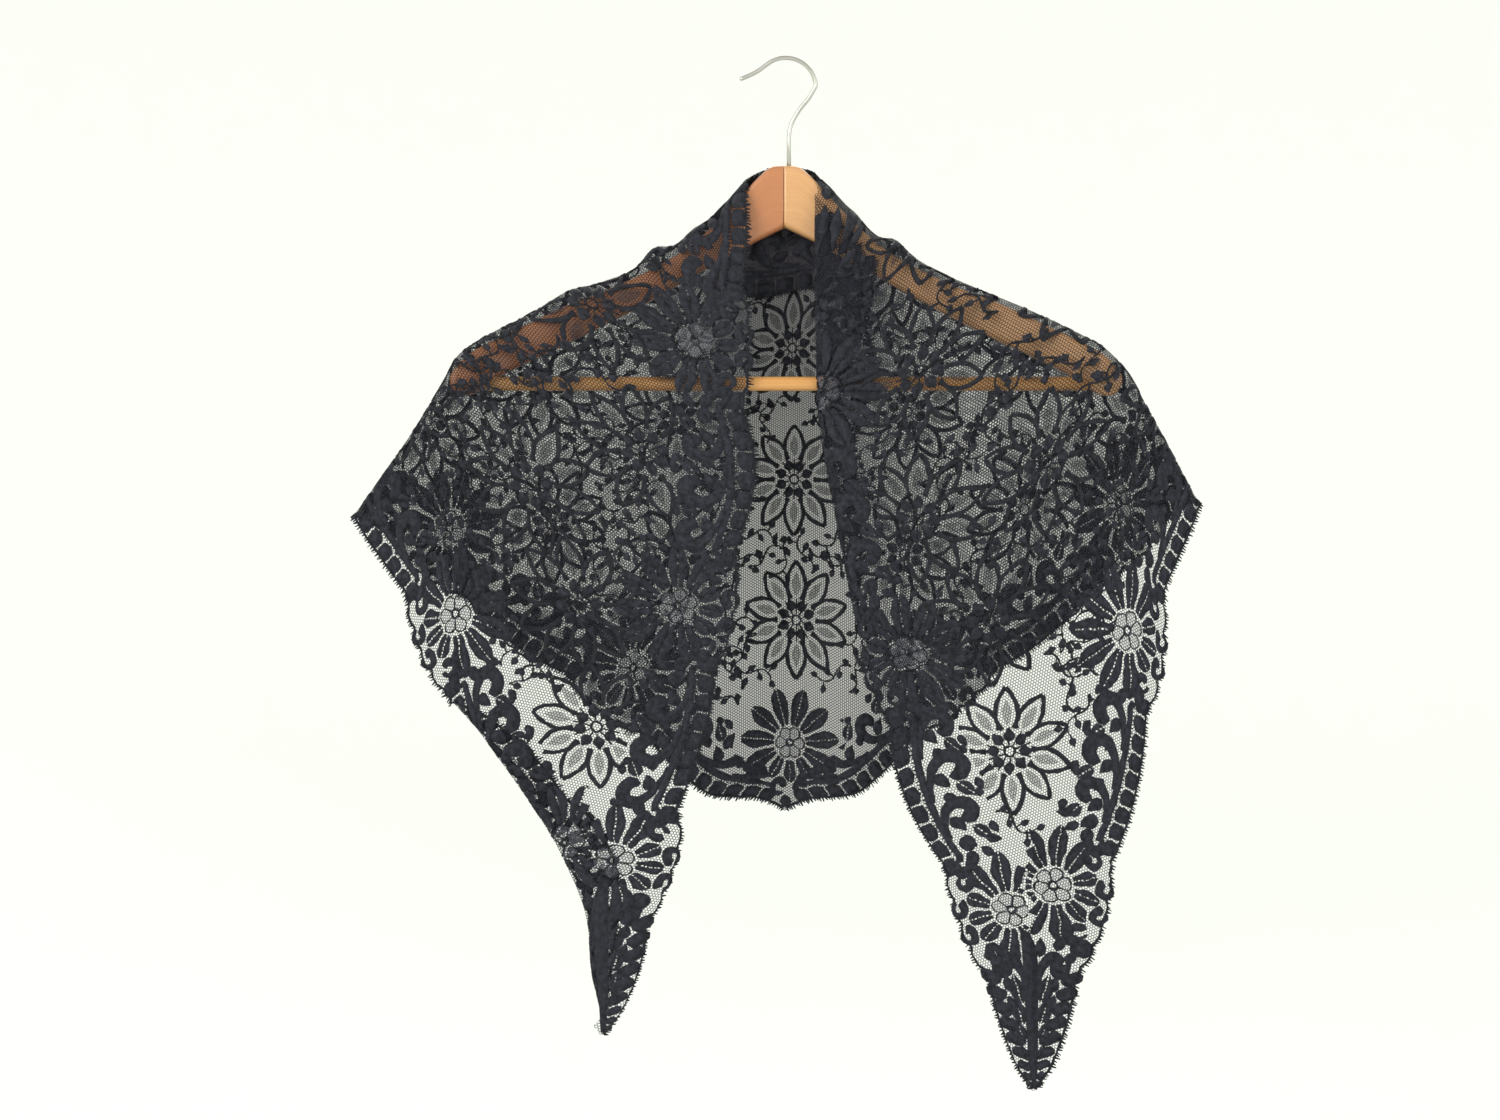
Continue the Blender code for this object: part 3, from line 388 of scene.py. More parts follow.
# Middles of the ten-petalled flowers of the field
FLOWERS = listed(
    Flower, (4, 78), (4, 172), (7, 273), (9, 373), (-84, 122), (-82, 222), (-80, 322), (90, 120),
    (92, 222), (94, 322), (-172, 95), (-176, 190), (-176, 290), (181, 93), (180, 194), (178, 292),
    (-262, 213), (264, 238), (-255, 60), (-302, 125), (-366, 92), (-440, 66), (269, 69), (276, 148),
    (346, 88), (428, 70),
)

# The flower at the back's point, and the disc between it and the edge
POINT_FLOWER = Flower(4.0, CLOTH_DEPTH - 76.0)
POINT_DISC = (0.6, CLOTH_DEPTH - 35.0)

NeckLeaf = namedtuple("NeckLeaf", "a b to_a to_b width")
NECK_LEAVES = listed(
    NeckLeaf, (54, 56, 80, 49, 6.5), (57, 64, 86, 55, 7.0), (56, 84, 82, 62, 10.5),
    (74, 82, 86, 66, 6.0), (60, 50, 88, 45, 6.0), (88, 70, 99, 56, 6.0),
)

Side = namedtuple("Side", "name sign neck corner tip ridge edge bow ruffles joint")


def ease(x):
    """0 below 0, 1 above 1, and a smooth S between."""
    x = np.clip(x, 0.0, 1.0)
    return x * x * (3.0 - 2.0 * x)


def lerp(start, end, share):
    return start + (end - start) * share


def coords(*axes):
    """Rows of coordinates, from one array or number for each axis."""
    return np.stack(np.broadcast_arrays(*axes), axis=-1)


def lengths(path):
    """Distance along a path at each of its points."""
    return np.append(0.0, np.cumsum(np.linalg.norm(np.diff(path, axis=0), axis=-1)))


def spline(knots, values, at):
    """Cubic spans through the values, each knot's slope taken from its neighbours."""
    knots = np.asarray(knots, float)
    values = np.asarray(values, float)
    slopes = np.gradient(values, knots, axis=0)
    at = np.clip(at, knots[0], knots[-1])
    span = np.clip(np.searchsorted(knots, at) - 1, 0, len(knots) - 2)
    length = knots[span + 1] - knots[span]
    x = (at - knots[span]) / length
    if values.ndim > 1:
        x = x[..., None]
        length = length[..., None]
    return (
        (2 * x**3 - 3 * x**2 + 1) * values[span]
        + (x**3 - 2 * x**2 + x) * length * slopes[span]
        + (3 * x**2 - 2 * x**3) * values[span + 1]
        + (x**3 - x**2) * length * slopes[span + 1]
    )


def curve(rows, share):
    """The point of the smooth curve through the rows at a share of its length."""
    rows = np.array(rows, float)
    knots = lengths(rows)
    return spline(knots / knots[-1], rows, share)


def table(rows, at):
    """The second column of the rows at a value of the first."""
    return spline([row[0] for row in rows], [row[1] for row in rows], at)


def sweep(x):
    """y of the hanger's middle: the arms come forward as a power of x. The cloth beyond
    their ends goes on at the same slope, easing off."""
    reach = np.minimum(np.abs(x), ARM_REACH) / ARM_REACH
    beyond = np.maximum(np.abs(x) - ARM_REACH, 0.0)
    slope = SWEEP_POWER * ARM_SWEEP / ARM_REACH
    tail = slope * SWEEP_TAIL * (1.0 - np.exp(-beyond / SWEEP_TAIL))
    return -ARM_SWEEP * reach**SWEEP_POWER - tail


def arm_top(x):
    """z of the top of the wood."""
    return table([(arm.x, arm.top) for arm in ARM_SECTIONS], np.abs(x))


def roll_radius(x):
    """Radius of the cloth's roll over the crest: even on the arm, tighter at the corner."""
    narrowing = ease((np.abs(x) - ROLL_NARROWS_FROM) / ROLL_NARROWS_OVER)
    return ROLL_RADIUS - (ROLL_RADIUS - CORNER_ROLL) * narrowing


def roll(distance, radius):
    """(down, out) after a distance: a quarter circle from the crest, then straight down."""
    distance = np.maximum(distance, 0.0)
    quarter = radius * math.pi / 2
    angle = np.minimum(distance, quarter) / radius
    down = radius * (1 - np.cos(angle)) + np.maximum(distance - quarter, 0.0)
    return down, radius * np.sin(angle)


def ruffle(side, along, distance):
    """Lift of the small standing waves, dying out away from the crest."""
    lift = sum(
        wave.lift * np.exp(-(((along - wave.along) / wave.width) ** 2))
        for wave in side.ruffles
    )
    return lift * np.exp(-np.maximum(distance, 0.0) / RUFFLE_FADE)


def flat_frame(start, end, inside):
    """(length, unit along, unit square to it on the inside point's side) of a flat line."""
    start, end, inside = (np.array(point, float) for point in (start, end, inside))
    length = float(np.linalg.norm(end - start))
    along = (end - start) / length
    across = np.array([-along[1], along[0]])
    if np.dot(inside - start, across) < 0:
        across = -across
    return length, along, across


def hem_point(sign, along, inward):
    """Flat point at a distance along the hem from the back point and inward from it."""
    a = along * HEM_RUN - inward * HEM_RISE
    b = CLOTH_DEPTH - along * HEM_RISE - inward * HEM_RUN
    return sign * a, b


def make_side(name, sign, neck, joint, ridge, edge, bow, ruffles):
    """A side of the cloth. joint is the flat end of its turned edge, kept as its two
    shares of the front triangle and its share of the visible edge's length."""
    corner = hem_point(sign, CORNER_ON_HEM, 0.0)
    tip = (sign * LONG_EDGE_HALF, 0.0)
    sides = np.array([np.subtract(corner, neck), np.subtract(tip, neck)])
    shares = np.subtract(joint, neck) @ np.linalg.inv(sides)
    before = math.dist(neck, joint)
    after = math.dist(joint, tip)
    where = (float(shares[0]), float(shares[1]), before / (before + after))
    return Side(name, sign, neck, corner, tip, ridge, edge, bow, ruffles, where)


LEFT = make_side(
    "left", -1, (-55.0, 0.0), (-350.0, 0.0), RIDGE_LEFT, EDGE_LEFT, HEM_BOW_LEFT, RUFFLES_LEFT
)
RIGHT = make_side(
    "right", 1, (25.0, 55.3), (375.0, 0.0), RIDGE_RIGHT, EDGE_RIGHT, HEM_BOW_RIGHT,
    RUFFLES_RIGHT,
)
NECK_FLAT = math.dist(LEFT.neck, RIGHT.neck)


def front_base(side, to_corner, to_tip):
    """x and z of the straight-sided hung triangle at two shares."""
    start = np.array(side.ridge[0], float)
    across = np.array(side.ridge[-1], float) - start
    down = np.array(side.edge[-1], float) - start
    return start + to_corner[..., None] * across + to_tip[..., None] * down


def hung_front(side, a, b):
    """A front, before any turned edge: the flat triangle neck-corner-tip carried to its
    hung triangle, then pulled to the crest, to the inner edge and to the bow of the hem,
    each pull fading evenly to nothing at the opposite side."""
    neck, corner, tip = (np.array(p, float) for p in (side.neck, side.corner, side.tip))
    away = coords(a, b) - neck
    shares = away @ np.linalg.inv(np.stack([corner - neck, tip - neck]))
    to_corner = shares[..., 0]
    to_tip = shares[..., 1]
    small = 1e-6
    place = front_base(side, to_corner, to_tip)

    ridge_length, along, across = flat_frame(side.neck, side.corner, side.tip)
    distance = away @ across
    on_crest = np.clip(to_corner, 0.0, 1.0)
    pull = curve(side.ridge, on_crest) - front_base(side, on_crest, on_crest * 0.0)
    keep = 1.0 - np.clip(to_tip / np.maximum(1.0 - to_corner, small), 0.0, 1.0)
    place = place + pull * keep[..., None]

    joint_corner, joint_tip, joint_share = side.joint
    edge_corner = np.interp(to_tip, [0.0, joint_tip, 1.0], [0.0, joint_corner, 0.0])
    edge_share = np.interp(to_tip, [0.0, joint_tip, 1.0], [0.0, joint_share, 1.0])
    pull = curve(side.edge, edge_share) - front_base(side, edge_corner, np.clip(to_tip, 0.0, 1.0))
    width = np.maximum(1.0 - to_tip - edge_corner, small)
    keep = 1.0 - np.clip((to_corner - edge_corner) / width, 0.0, 1.0)
    place = place + pull * keep[..., None]

    reached = np.clip(to_corner + to_tip, 0.0, 1.0)
    bow = table(side.bow, np.clip(to_tip / np.maximum(to_corner + to_tip, small), 0.0, 1.0))
    place = place + (bow * reached)[..., None] * np.array([side.sign * BOW_OUT, BOW_DOWN])

    down, out = roll(distance, roll_radius(place[..., 0]))
    hung_across = np.array(side.ridge[-1], float) - side.ridge[0]
    hung_down = np.array(side.edge[-1], float) - side.ridge[0]
    foot = np.dot(tip - neck, along) / ridge_length
    normal = (hung_down - foot * hung_across) / np.dot(tip - neck, across)
    slack = (down - np.maximum(distance, 0.0)) * (1.0 - ease(distance / ROLL_FADE))
    place = place + slack[..., None] * normal

    x = place[..., 0]
    z = place[..., 1] + ruffle(side, to_corner * ridge_length, distance)
    on_arm = sweep(x) - ROLL_RADIUS
    top = arm_top(x)
    drop = np.maximum(top - BAR_Z - BAR_RADIUS, LEAST_DROP)
    fall = np.clip((top - z) / drop, 0.0, 1.0)
    lean = lerp(fall, ease(fall), LEAN_EASING) * ease(distance / LEAN_BEGINS)
    y = sweep(x) - out + (np.minimum(on_arm, FRONT_OF_BAR) - on_arm) * lean
    for fold in FRONT_FOLDS:
        centre = fold.place + side.sign * fold.lean * (FOLD_MIDDLE_Z - z) / 100.0
        wave = fold.depth * np.exp(-(((x - centre) / fold.width) ** 2))
        grown = ease((fold.start - z) / FOLD_GROWS_OVER) * ease(distance / FOLD_GROWS_OVER)
        y = y - wave * grown
    return coords(x, y, z)


def back_base(a, b):
    """x and z of the back as a slanted plane, each half of it dropping to its side."""
    slant = np.sqrt(a * a + BACK_CENTRE_ROUND**2) - BACK_CENTRE_ROUND
    turn = np.tanh(a / BACK_CENTRE_WIDTH)
    x = a * (BACK_NARROW - BACK_NARROW_RIGHT * turn)
    z = BACK_POINT_Z + BACK_FALL * (CLOTH_DEPTH - b) - slant * (BACK_DROP - BACK_DROP_RIGHT * turn)
    return coords(x, z)


def hung_back(a, b):
    """The back: its plane pulled to the crest on both sides. A point takes the two pulls
    by the inverse squares of its distances from the crests, and less further down."""
    flat = coords(a, b)
    start = np.array(LEFT.neck)
    pulls = 0.0
    outs = 0.0
    weights = 0.0
    distances = []
    for side in (LEFT, RIGHT):
        length, unit, across = flat_frame(start, side.corner, (0.0, CLOTH_DEPTH))
        skipped = NECK_FLAT if side is RIGHT else 0.0
        along = np.clip((flat - start) @ unit, 0.0, length)
        distance = np.maximum((flat - start) @ across, 0.0)
        crest = curve(side.ridge, np.clip((along - skipped) / (length - skipped), 0.0, 1.0))
        in_neck = (along < skipped)[..., None]
        neck_share = np.clip(along / NECK_FLAT, 0.0, 1.0)
        crest = np.where(in_neck, curve(NECK_LINE, neck_share), crest)
        set_back = NECK_CREST_Y * ease(np.minimum(along, skipped - along) / NECK_RISE)
        down, out = roll(distance, roll_radius(crest[..., 0]) - set_back)
        foot = start + along[..., None] * unit
        at_foot = back_base(foot[..., 0], foot[..., 1])
        beside = foot + across
        normal = back_base(beside[..., 0], beside[..., 1]) - at_foot
        slack = (down - distance) * (1.0 - ease(distance / ROLL_FADE))
        pull = crest - at_foot + slack[..., None] * normal
        pull[..., 1] += ruffle(side, along - skipped, distance)
        weight = 1.0 / (distance**2 + PULL_FLOOR)
        pulls = pulls + weight[..., None] * pull
        outs = outs + weight * (set_back + out)
        weights = weights + weight
        distances.append(distance)
    left, right = distances
    both = left * right / np.sqrt(left**2 + right**2 + 1e-9)
    keep = 1.0 - ease(both / BACK_PULL_FADE)
    place = back_base(a, b) + pulls / weights[..., None] * keep[..., None]
    x = place[..., 0]
    y = sweep(x) + outs / weights
    for fold in BACK_FOLDS:
        centre = fold.place + fold.lean * (b - FOLD_MIDDLE_B) / 100.0
        wave = fold.depth * np.exp(-(((a - centre) / fold.width) ** 2))
        y = y + wave * ease((both - fold.start) / BACK_PULL_FADE)
    return coords(x, y, place[..., 1])


def scallop(along, repeat):
    """How far the border stands out of its line: a bulge at each flower with small
    lobes of its own, and one bulge between."""
    place = np.abs((along / repeat + 0.5) % 1.0 - 0.5) * repeat
    flower = np.cos(math.pi / 2 * np.clip(place / FLOWER_HALF, 0.0, 1.0))
    between = (place - FLOWER_HALF) / (repeat / 2 - FLOWER_HALF)
    plain = np.sin(math.pi / 2 * np.clip(between, 0.0, 1.0))
    lobe = (1.0 - np.abs(np.sin(math.pi * place / LOBE_WIDTH)) ** 0.6) * (place < FLOWER_HALF)
    even = SCALLOP_FLOWER * flower**0.6 + SCALLOP_PLAIN * plain**0.7 - SCALLOP_NOTCH
    return even - LOBE_NOTCH * lobe


def hem_edge(along):
    """Inward place of the scalloped hem, rounded off at the back point and at the tip."""
    from_point = ease((along - POINT_SLOPE * BACK_POINT_CUT) / BACK_POINT_ROUND)
    edge = lerp(BACK_POINT_CUT, -scallop(along, HEM_REPEAT), from_point)
    last = HEM_HALF - TIP_SLOPE * TIP_CUT
    return lerp(edge, TIP_CUT, ease((along - last) / TIP_ROUND + 1.0))


def long_edge(along):
    """b of the scalloped long edge at a distance from its middle, cut off at the tip."""
    last = LONG_EDGE_HALF - TIP_SLOPE * TIP_CUT
    edge = -scallop(along, LONG_EDGE_REPEAT)
    return lerp(edge, TIP_CUT, ease((along - last) / TIP_ROUND + 1.0))


def turned_depth(side, along):
    """Depth of what is turned in behind a front: on the left the hem of the tip, and on
    the right the long edge, tapering evenly to nothing."""
    if side is LEFT:
        return np.maximum(table(LEFT_HEM_TURN, along), 0.0)
    first, last = RIGHT_EDGE_TURN
    return np.interp(along, [first.along, last.along], [first.depth, last.depth])


def turned(surface, along, reach, depth):
    """Points of a strip turned in behind an edge, at a reach from the fold line: half a
    turn of TURN_RADIUS, and then behind the cloth by twice that radius. surface takes
    (along, inward) and its fold line lies depth inward."""
    step = 0.5
    angle = np.minimum(reach, TURN_LENGTH) / TURN_RADIUS
    inward = depth + np.maximum(reach - TURN_LENGTH, 0.0)
    base = surface(along, inward)
    into = surface(along, inward + step) - base
    beside = surface(along + step, inward) - base
    into = into / np.linalg.norm(into, axis=-1, keepdims=True)
    normal = np.cross(into, beside)
    normal = normal / np.linalg.norm(normal, axis=-1, keepdims=True)
    sideways = -TURN_RADIUS * np.sin(angle)
    behind = TURN_RADIUS * (1.0 - np.cos(angle))
    return base + sideways[..., None] * into + behind[..., None] * normal


def steps(length, cell):
    """Even shares of a length, in cells of about a size."""
    return np.linspace(0.0, 1.0, max(2, round(length / cell)) + 1)


def seam_slope(side):
    """Change along the hem for each mm inward, on the crest line where it meets the hem,
    and the mm inward for each mm of crest."""
    _, to_neck, _ = flat_frame(side.corner, side.neck, side.tip)
    along = np.dot(to_neck, (side.sign * HEM_RUN, -HEM_RISE))
    inward = np.dot(to_neck, (-side.sign * HEM_RISE, -HEM_RUN))
    return along / inward, inward


def field_start(side):
    """Flat point on the crest where the inner edge border gives way to the field."""
    _, along, _ = flat_frame(side.neck, side.corner, side.tip)
    if side is LEFT:
        return np.array(side.neck) + along * BORDER / along[1]
    return np.array(side.neck) + along * NECK_BORDER


def field_corner(side):
    """Flat point on the crest where the field meets the hem border."""
    _, inward = seam_slope(side)
    _, along, _ = flat_frame(side.neck, side.corner, side.tip)
    return np.array(side.corner) - along * BORDER / inward


def field_tip(side):
    return np.array([side.sign * (LONG_EDGE_HALF - BORDER * TIP_SLOPE), BORDER])


def front_field(side):
    """Flat grid of a front inside its borders, in rows from the crest to near the tip."""
    start, corner, tip = field_start(side), field_corner(side), field_tip(side)
    _, _, across = flat_frame(side.neck, side.corner, side.tip)
    height = float(np.dot(tip - start, across))
    rows = steps(height, FIELD_CELL)
    rows[-1] = 1.0 - FIELD_TIP_CUT / height
    columns = steps(math.dist(start, corner), FIELD_CELL)
    first = lerp(start, tip, rows[:, None])
    last = lerp(corner, tip, rows[:, None])
    return lerp(first[:, None], last[:, None], columns[None, :, None])


def back_field():
    """Flat grid of the back inside its border: a four-sided patch."""
    start = np.array(LEFT.neck)
    left, right = field_corner(LEFT), field_corner(RIGHT)
    low = np.array([0.0, CLOTH_DEPTH - BORDER * HEM_HALF / LONG_EDGE_HALF])
    across = steps(math.dist(start, right), FIELD_CELL)
    down = steps(math.dist(start, left), FIELD_CELL)
    p, q = np.meshgrid(across, down)
    p = p[..., None]
    q = q[..., None]
    return lerp(lerp(start, right, p), lerp(left, low, p), q)


def strip(outer, inner):
    """Flat grid between two flat lines with equal counts of points."""
    share = np.linspace(0.0, 1.0, BORDER_ROWS)[None, :, None]
    return lerp(coords(*outer)[:, None], coords(*inner)[:, None], share)


def slid(inner, first_shift):
    """Places of a border's outer line: those of its inner line, slid along from the first
    end to meet the slanted seam there."""
    return inner + first_shift * (1.0 - ease((inner - inner[0]) / SLIDE_LENGTH))


def to_mitre(places, length, most):
    """Inward reach of a border's inner line: even, then down the mitre to the tip."""
    return np.minimum(most, (length - places) / TIP_SLOPE)


def on_to_tip(places, length):
    """Places along a border: beside the rows of the field, then in even cells."""
    last = length - TIP_SLOPE * (TIP_CUT + TIP_WIDTH)
    count = max(2, round((last - places[-1]) / BORDER_CELL))
    return np.append(places, np.linspace(places[-1], last, count + 1)[1:])


def along_hem(a, b):
    """Distance along the hem, from the back point, of flat points."""
    return np.abs(a) * HEM_RUN + (CLOTH_DEPTH - b) * HEM_RISE


def from_hem(a, b):
    """Distance inward from the hem of flat points."""
    return (CLOTH_DEPTH - b) * HEM_RUN - np.abs(a) * HEM_RISE


def back_hem_border(side):
    """Flat grid of the hem border of one half of the back, from its point to the crest."""
    slope, _ = seam_slope(side)
    field = back_field()
    row = field[-1] if side is LEFT else field[:, -1]
    inner = along_hem(row[:, 0], row[:, 1])[::-1].copy()
    from_point = 1.0 - ease((inner - inner[0]) / SLIDE_LENGTH)
    to_crest = 1.0 - ease((inner[-1] - inner) / SLIDE_LENGTH)
    outer = inner + POINT_SLOPE * (BACK_POINT_CUT - BORDER) * from_point
    outer = outer - slope * BORDER * to_crest
    return strip(
        hem_point(side.sign, outer, hem_edge(outer)),
        hem_point(side.sign, inner, np.full_like(inner, BORDER)),
    )


def front_hem_places(side):
    """Distances along the hem of a front's border: of its inner line and of its outer."""
    slope, _ = seam_slope(side)
    row = front_field(side)[:, -1]
    inner = on_to_tip(along_hem(row[:, 0], row[:, 1]), HEM_HALF)
    return inner, slid(inner, -slope * BORDER)


def front_hem_border(side):
    """Flat grid of the border up the hem of a front, as far as it isn't turned in."""
    inner, outer = front_hem_places(side)
    edge = hem_edge(outer)
    if side is LEFT:
        depth = turned_depth(LEFT, outer)
        edge = np.where(depth > LEAST_TURN, depth, edge)
    return strip(
        hem_point(side.sign, outer, edge),
        hem_point(side.sign, inner, to_mitre(inner, HEM_HALF, BORDER)),
    )


def front_edge_places(side):
    """Distances along the long edge of a front's border: of its inner and outer lines."""
    inner = on_to_tip(np.abs(front_field(side)[:, 0, 0]), LONG_EDGE_HALF)
    return inner, slid(inner, abs(side.neck[0]) - inner[0])


def front_edge_border(side):
    """Flat grid of the border down the inner edge, as far as it isn't turned in."""
    inner, outer = front_edge_places(side)
    edge = long_edge(outer)
    if side is RIGHT:
        depth = turned_depth(RIGHT, outer)
        edge = np.where(depth > LEAST_TURN, depth, edge)
    start, tip = field_start(side), field_tip(side)
    line = np.interp(inner, np.abs([start[0], tip[0]]), [start[1], tip[1]])
    return strip(
        (side.sign * outer, edge), (side.sign * inner, to_mitre(inner, LONG_EDGE_HALF, line))
    )


def left_turned_hem():
    """Flat grid of the hem turned in behind the left tip."""
    _, along = front_hem_places(LEFT)
    along = along[turned_depth(LEFT, along) > LEAST_TURN][:, None]
    inward = lerp(turned_depth(LEFT, along), -scallop(along, HEM_REPEAT), TURN_SHARES)
    return coords(*hem_point(LEFT.sign, along, inward))


def right_turn_start(reach):
    """Place along the long edge where the strip turned in behind the right front comes
    clear of the arm, by reach from its fold."""
    first, last = RIGHT_EDGE_TURN
    slope = (first.depth - last.depth) / (last.along - first.along)
    _, crest, _ = flat_frame(RIGHT.neck, RIGHT.corner, RIGHT.tip)
    rise = crest[1] / crest[0]
    clear = TURNED_EDGE_CLEAR * math.hypot(1.0, rise)
    return first.along + (clear + np.maximum(reach - TURN_LENGTH, 0.0)) / (rise + slope)


def right_turned_edge():
    """Flat grid of the long edge turned in behind the right front."""
    first, _ = RIGHT_EDGE_TURN
    _, places = front_edge_places(RIGHT)
    end = places[turned_depth(RIGHT, places) > LEAST_TURN][-1]
    start = right_turn_start(first.depth * TURN_SHARES[None])
    along = lerp(start, end, steps(end - first.along, BORDER_CELL)[:, None])
    inward = lerp(turned_depth(RIGHT, along), -scallop(along, LONG_EDGE_REPEAT), TURN_SHARES)
    return coords(along, inward)


def hung_flap(x, reach):
    """The long edge turned down behind the neck, at a place across and a reach from the
    crest: a tight roll, then down between the wood and the back to a waved foot."""
    foot = FLAP_FOOT + FLAP_WAVE * np.cos(FLAP_WAVES * math.pi * (x / FLAP_WIDTH + 0.5))
    top = NECK_LINE[2].z
    down, out = roll(reach, NECK_ROLL)
    z = top - down * lerp(1.0, (top - foot) / (top - FLAP_FOOT), ease(reach / FLAP_LENGTH))
    return coords(x, sweep(x) + NECK_CREST_Y - out, z)


def flap_sides(reach):
    """x of the flap's left and right sides at a reach from the crest."""
    heights, lefts, rights = np.array(NECK_FLAP).T
    z = NECK_LINE[2].z - reach
    return spline(heights, lefts, z), spline(heights, rights, z)


def beyond_crest(side, a, b):
    """Distance of flat points past the crest line, on the side of the front."""
    _, _, across = flat_frame(side.neck, side.corner, side.tip)
    return (a - side.neck[0]) * across[0] + (b - side.neck[1]) * across[1]


def hang(a, b):
    """Places of any flat points, and the stretch of cloth that each is on: the back, a
    front or, where the cloth goes into the flap behind the neck, none."""
    place = np.zeros((len(a), 3))
    stretch = np.full(len(a), BACK)
    stretch[beyond_crest(LEFT, a, b) > 0.0] = LEFT_FRONT
    right = beyond_crest(RIGHT, a, b) > 0.0
    reach = turned_depth(RIGHT, a) - b
    hidden = right & ((a < RIGHT.neck[0]) | ((reach > 0.0) & (a < right_turn_start(reach))))
    stretch[right] = RIGHT_FRONT
    stretch[hidden & (stretch != LEFT_FRONT)] = NO_STRETCH
    on_back = stretch == BACK
    place[on_back] = hung_back(a[on_back], b[on_back])
    for side, code in ((LEFT, LEFT_FRONT), (RIGHT, RIGHT_FRONT)):
        here = stretch == code
        place[here] = hang_front(side, a[here], b[here])
    return place, stretch


def hang_front(side, a, b):
    """Places of flat points of a front, those past a fold line turned in behind it."""
    place = hung_front(side, a, b)
    along, inward = (along_hem(a, b), from_hem(a, b)) if side is LEFT else (a, b)
    depth = turned_depth(side, along)
    folded = (depth > LEAST_TURN) & (inward < depth)

    def surface(place_along, place_inward):
        if side is LEFT:
            return hung_front(LEFT, *hem_point(LEFT.sign, place_along, place_inward))
        return hung_front(RIGHT, place_along, place_inward)

    place[folded] = turned(surface, along[folded], (depth - inward)[folded], depth[folded])
    return place


def each(pattern, change, *values):
    """A pattern with every one of its shapes changed in the same way."""
    return {kind: change(shape, *values) for kind, shape in pattern.items()}


def merged(patterns):
    """Several patterns as one, their shapes joined kind by kind."""
    return {
        kind: joined([pattern[kind] for pattern in patterns if kind in pattern])
        for kind in KINDS
        if any(kind in pattern for pattern in patterns)
    }


def grid(points):
    """The shape of a grid of points given in rows and columns."""
    rows, columns, size = points.shape
    index = np.arange(rows * columns).reshape(rows, columns)
    around = [index[:-1, :-1], index[1:, :-1], index[1:, 1:], index[:-1, 1:]]
    return Shape(points.reshape(-1, size), np.stack(around, axis=-1).reshape(-1, 4))


def joined(shapes):
    """Several shapes as one."""
    starts = np.cumsum([0] + [len(shape.points) for shape in shapes[:-1]])
    faces = [shape.faces + start for shape, start in zip(shapes, starts)]
    return Shape(np.concatenate([shape.points for shape in shapes]), np.concatenate(faces))


def placed(shape, x, y, turn=0.0):
    """Copies of a shape, each turned about its own origin and moved to (x, y)."""
    x, y, turn = (v.ravel() for v in np.broadcast_arrays(np.atleast_1d(x), y, turn))
    cos, sin = np.cos(turn)[:, None], np.sin(turn)[:, None]
    across, up = shape.points.T
    moved = coords(x[:, None] + cos * across - sin * up, y[:, None] + sin * across + cos * up)
    faces = shape.faces + len(shape.points) * np.arange(len(x))[:, None, None]
    return Shape(moved.reshape(-1, 2), faces.reshape(-1, 4))


def mirrored(shape, signs=(-1.0, 1.0)):
    """The shape with its first axis turned round, or another one."""
    return Shape(shape.points * signs, shape.faces[:, ::-1])


def faces_where(shape, kept):
    """The shape with only the faces whose corners are all kept."""
    return Shape(shape.points, shape.faces[kept[shape.faces].all(axis=1)])


def band(path, width):
    """A ribbon along a path: each point set half the width to both sides of it."""
    step = np.gradient(path, axis=0)
    across = coords(-step[:, 1], step[:, 0])
    across = across / np.linalg.norm(across, axis=1, keepdims=True)
    half = across * np.broadcast_to(width, len(path))[:, None] / 2
    return grid(np.stack([path - half, path + half], axis=1))


def ribbon(x, low, high):
    """A ribbon along x between two heights."""
    return grid(np.stack([coords(x, low), coords(x, high)], axis=1))


def split_ribbon(x, width, gap):
    """A ribbon along x with a light line down its middle, crossed by short bars."""
    half = np.maximum(width / 2, gap / 2 + LEAST_THREAD)
    bars = np.arange(x[0] + BARS_FROM, x[-1] - BARS_TO, BAR_STEP)
    return joined([
        ribbon(x, gap / 2, half), ribbon(x, -half, -gap / 2),
        placed(patch(BAR, gap + BAR_LAP), bars, 0.0),
    ])


def leaf(length, width, fullness=0.8, stations=7):
    """A leaf along x: its half width is a sine of the length's share to a power."""
    share = np.linspace(0.0, 1.0, stations)
    half = width / 2 * np.sin(math.pi * share**fullness)
    return ribbon(length * share, -half, half)


def split_leaf(length, width, gap, fullness=0.8, stations=8):
    """A leaf along x with a light line down its middle."""
    share = np.linspace(0.0, 1.0, stations)
    return split_ribbon(length * share, width * np.sin(math.pi * share**fullness), gap)


def patch(width, height):
    """A plain rectangle about the origin."""
    x, y = np.meshgrid([-width / 2, width / 2], [-height / 2, height / 2])
    return grid(coords(x, y))


def pebble(start, end, width, stations=10):
    """A block with rounded ends: a ribbon whose width follows a superellipse."""
    share = np.linspace(0.0, 1.0, stations)
    path = lerp(np.array(start, float), np.array(end, float), share[:, None])
    return band(path, np.maximum(width * (1.0 - np.abs(2.0 * share - 1.0) ** 5) ** 0.5, 0.5))


def round_ribbon(radius, width, sides=14, squeeze=1.0):
    """A closed ring of ribbon, or a disc where its width is twice the radius."""
    angle = np.linspace(0.0, 2 * math.pi, sides + 1)[:, None]
    reach = np.array([[max(radius - width / 2, 0.1), radius + width / 2]])
    return grid(coords(reach * np.cos(angle), squeeze * reach * np.sin(angle)))


def disc(radius, squeeze=1.0):
    return round_ribbon(radius / 2, radius, 10, squeeze)


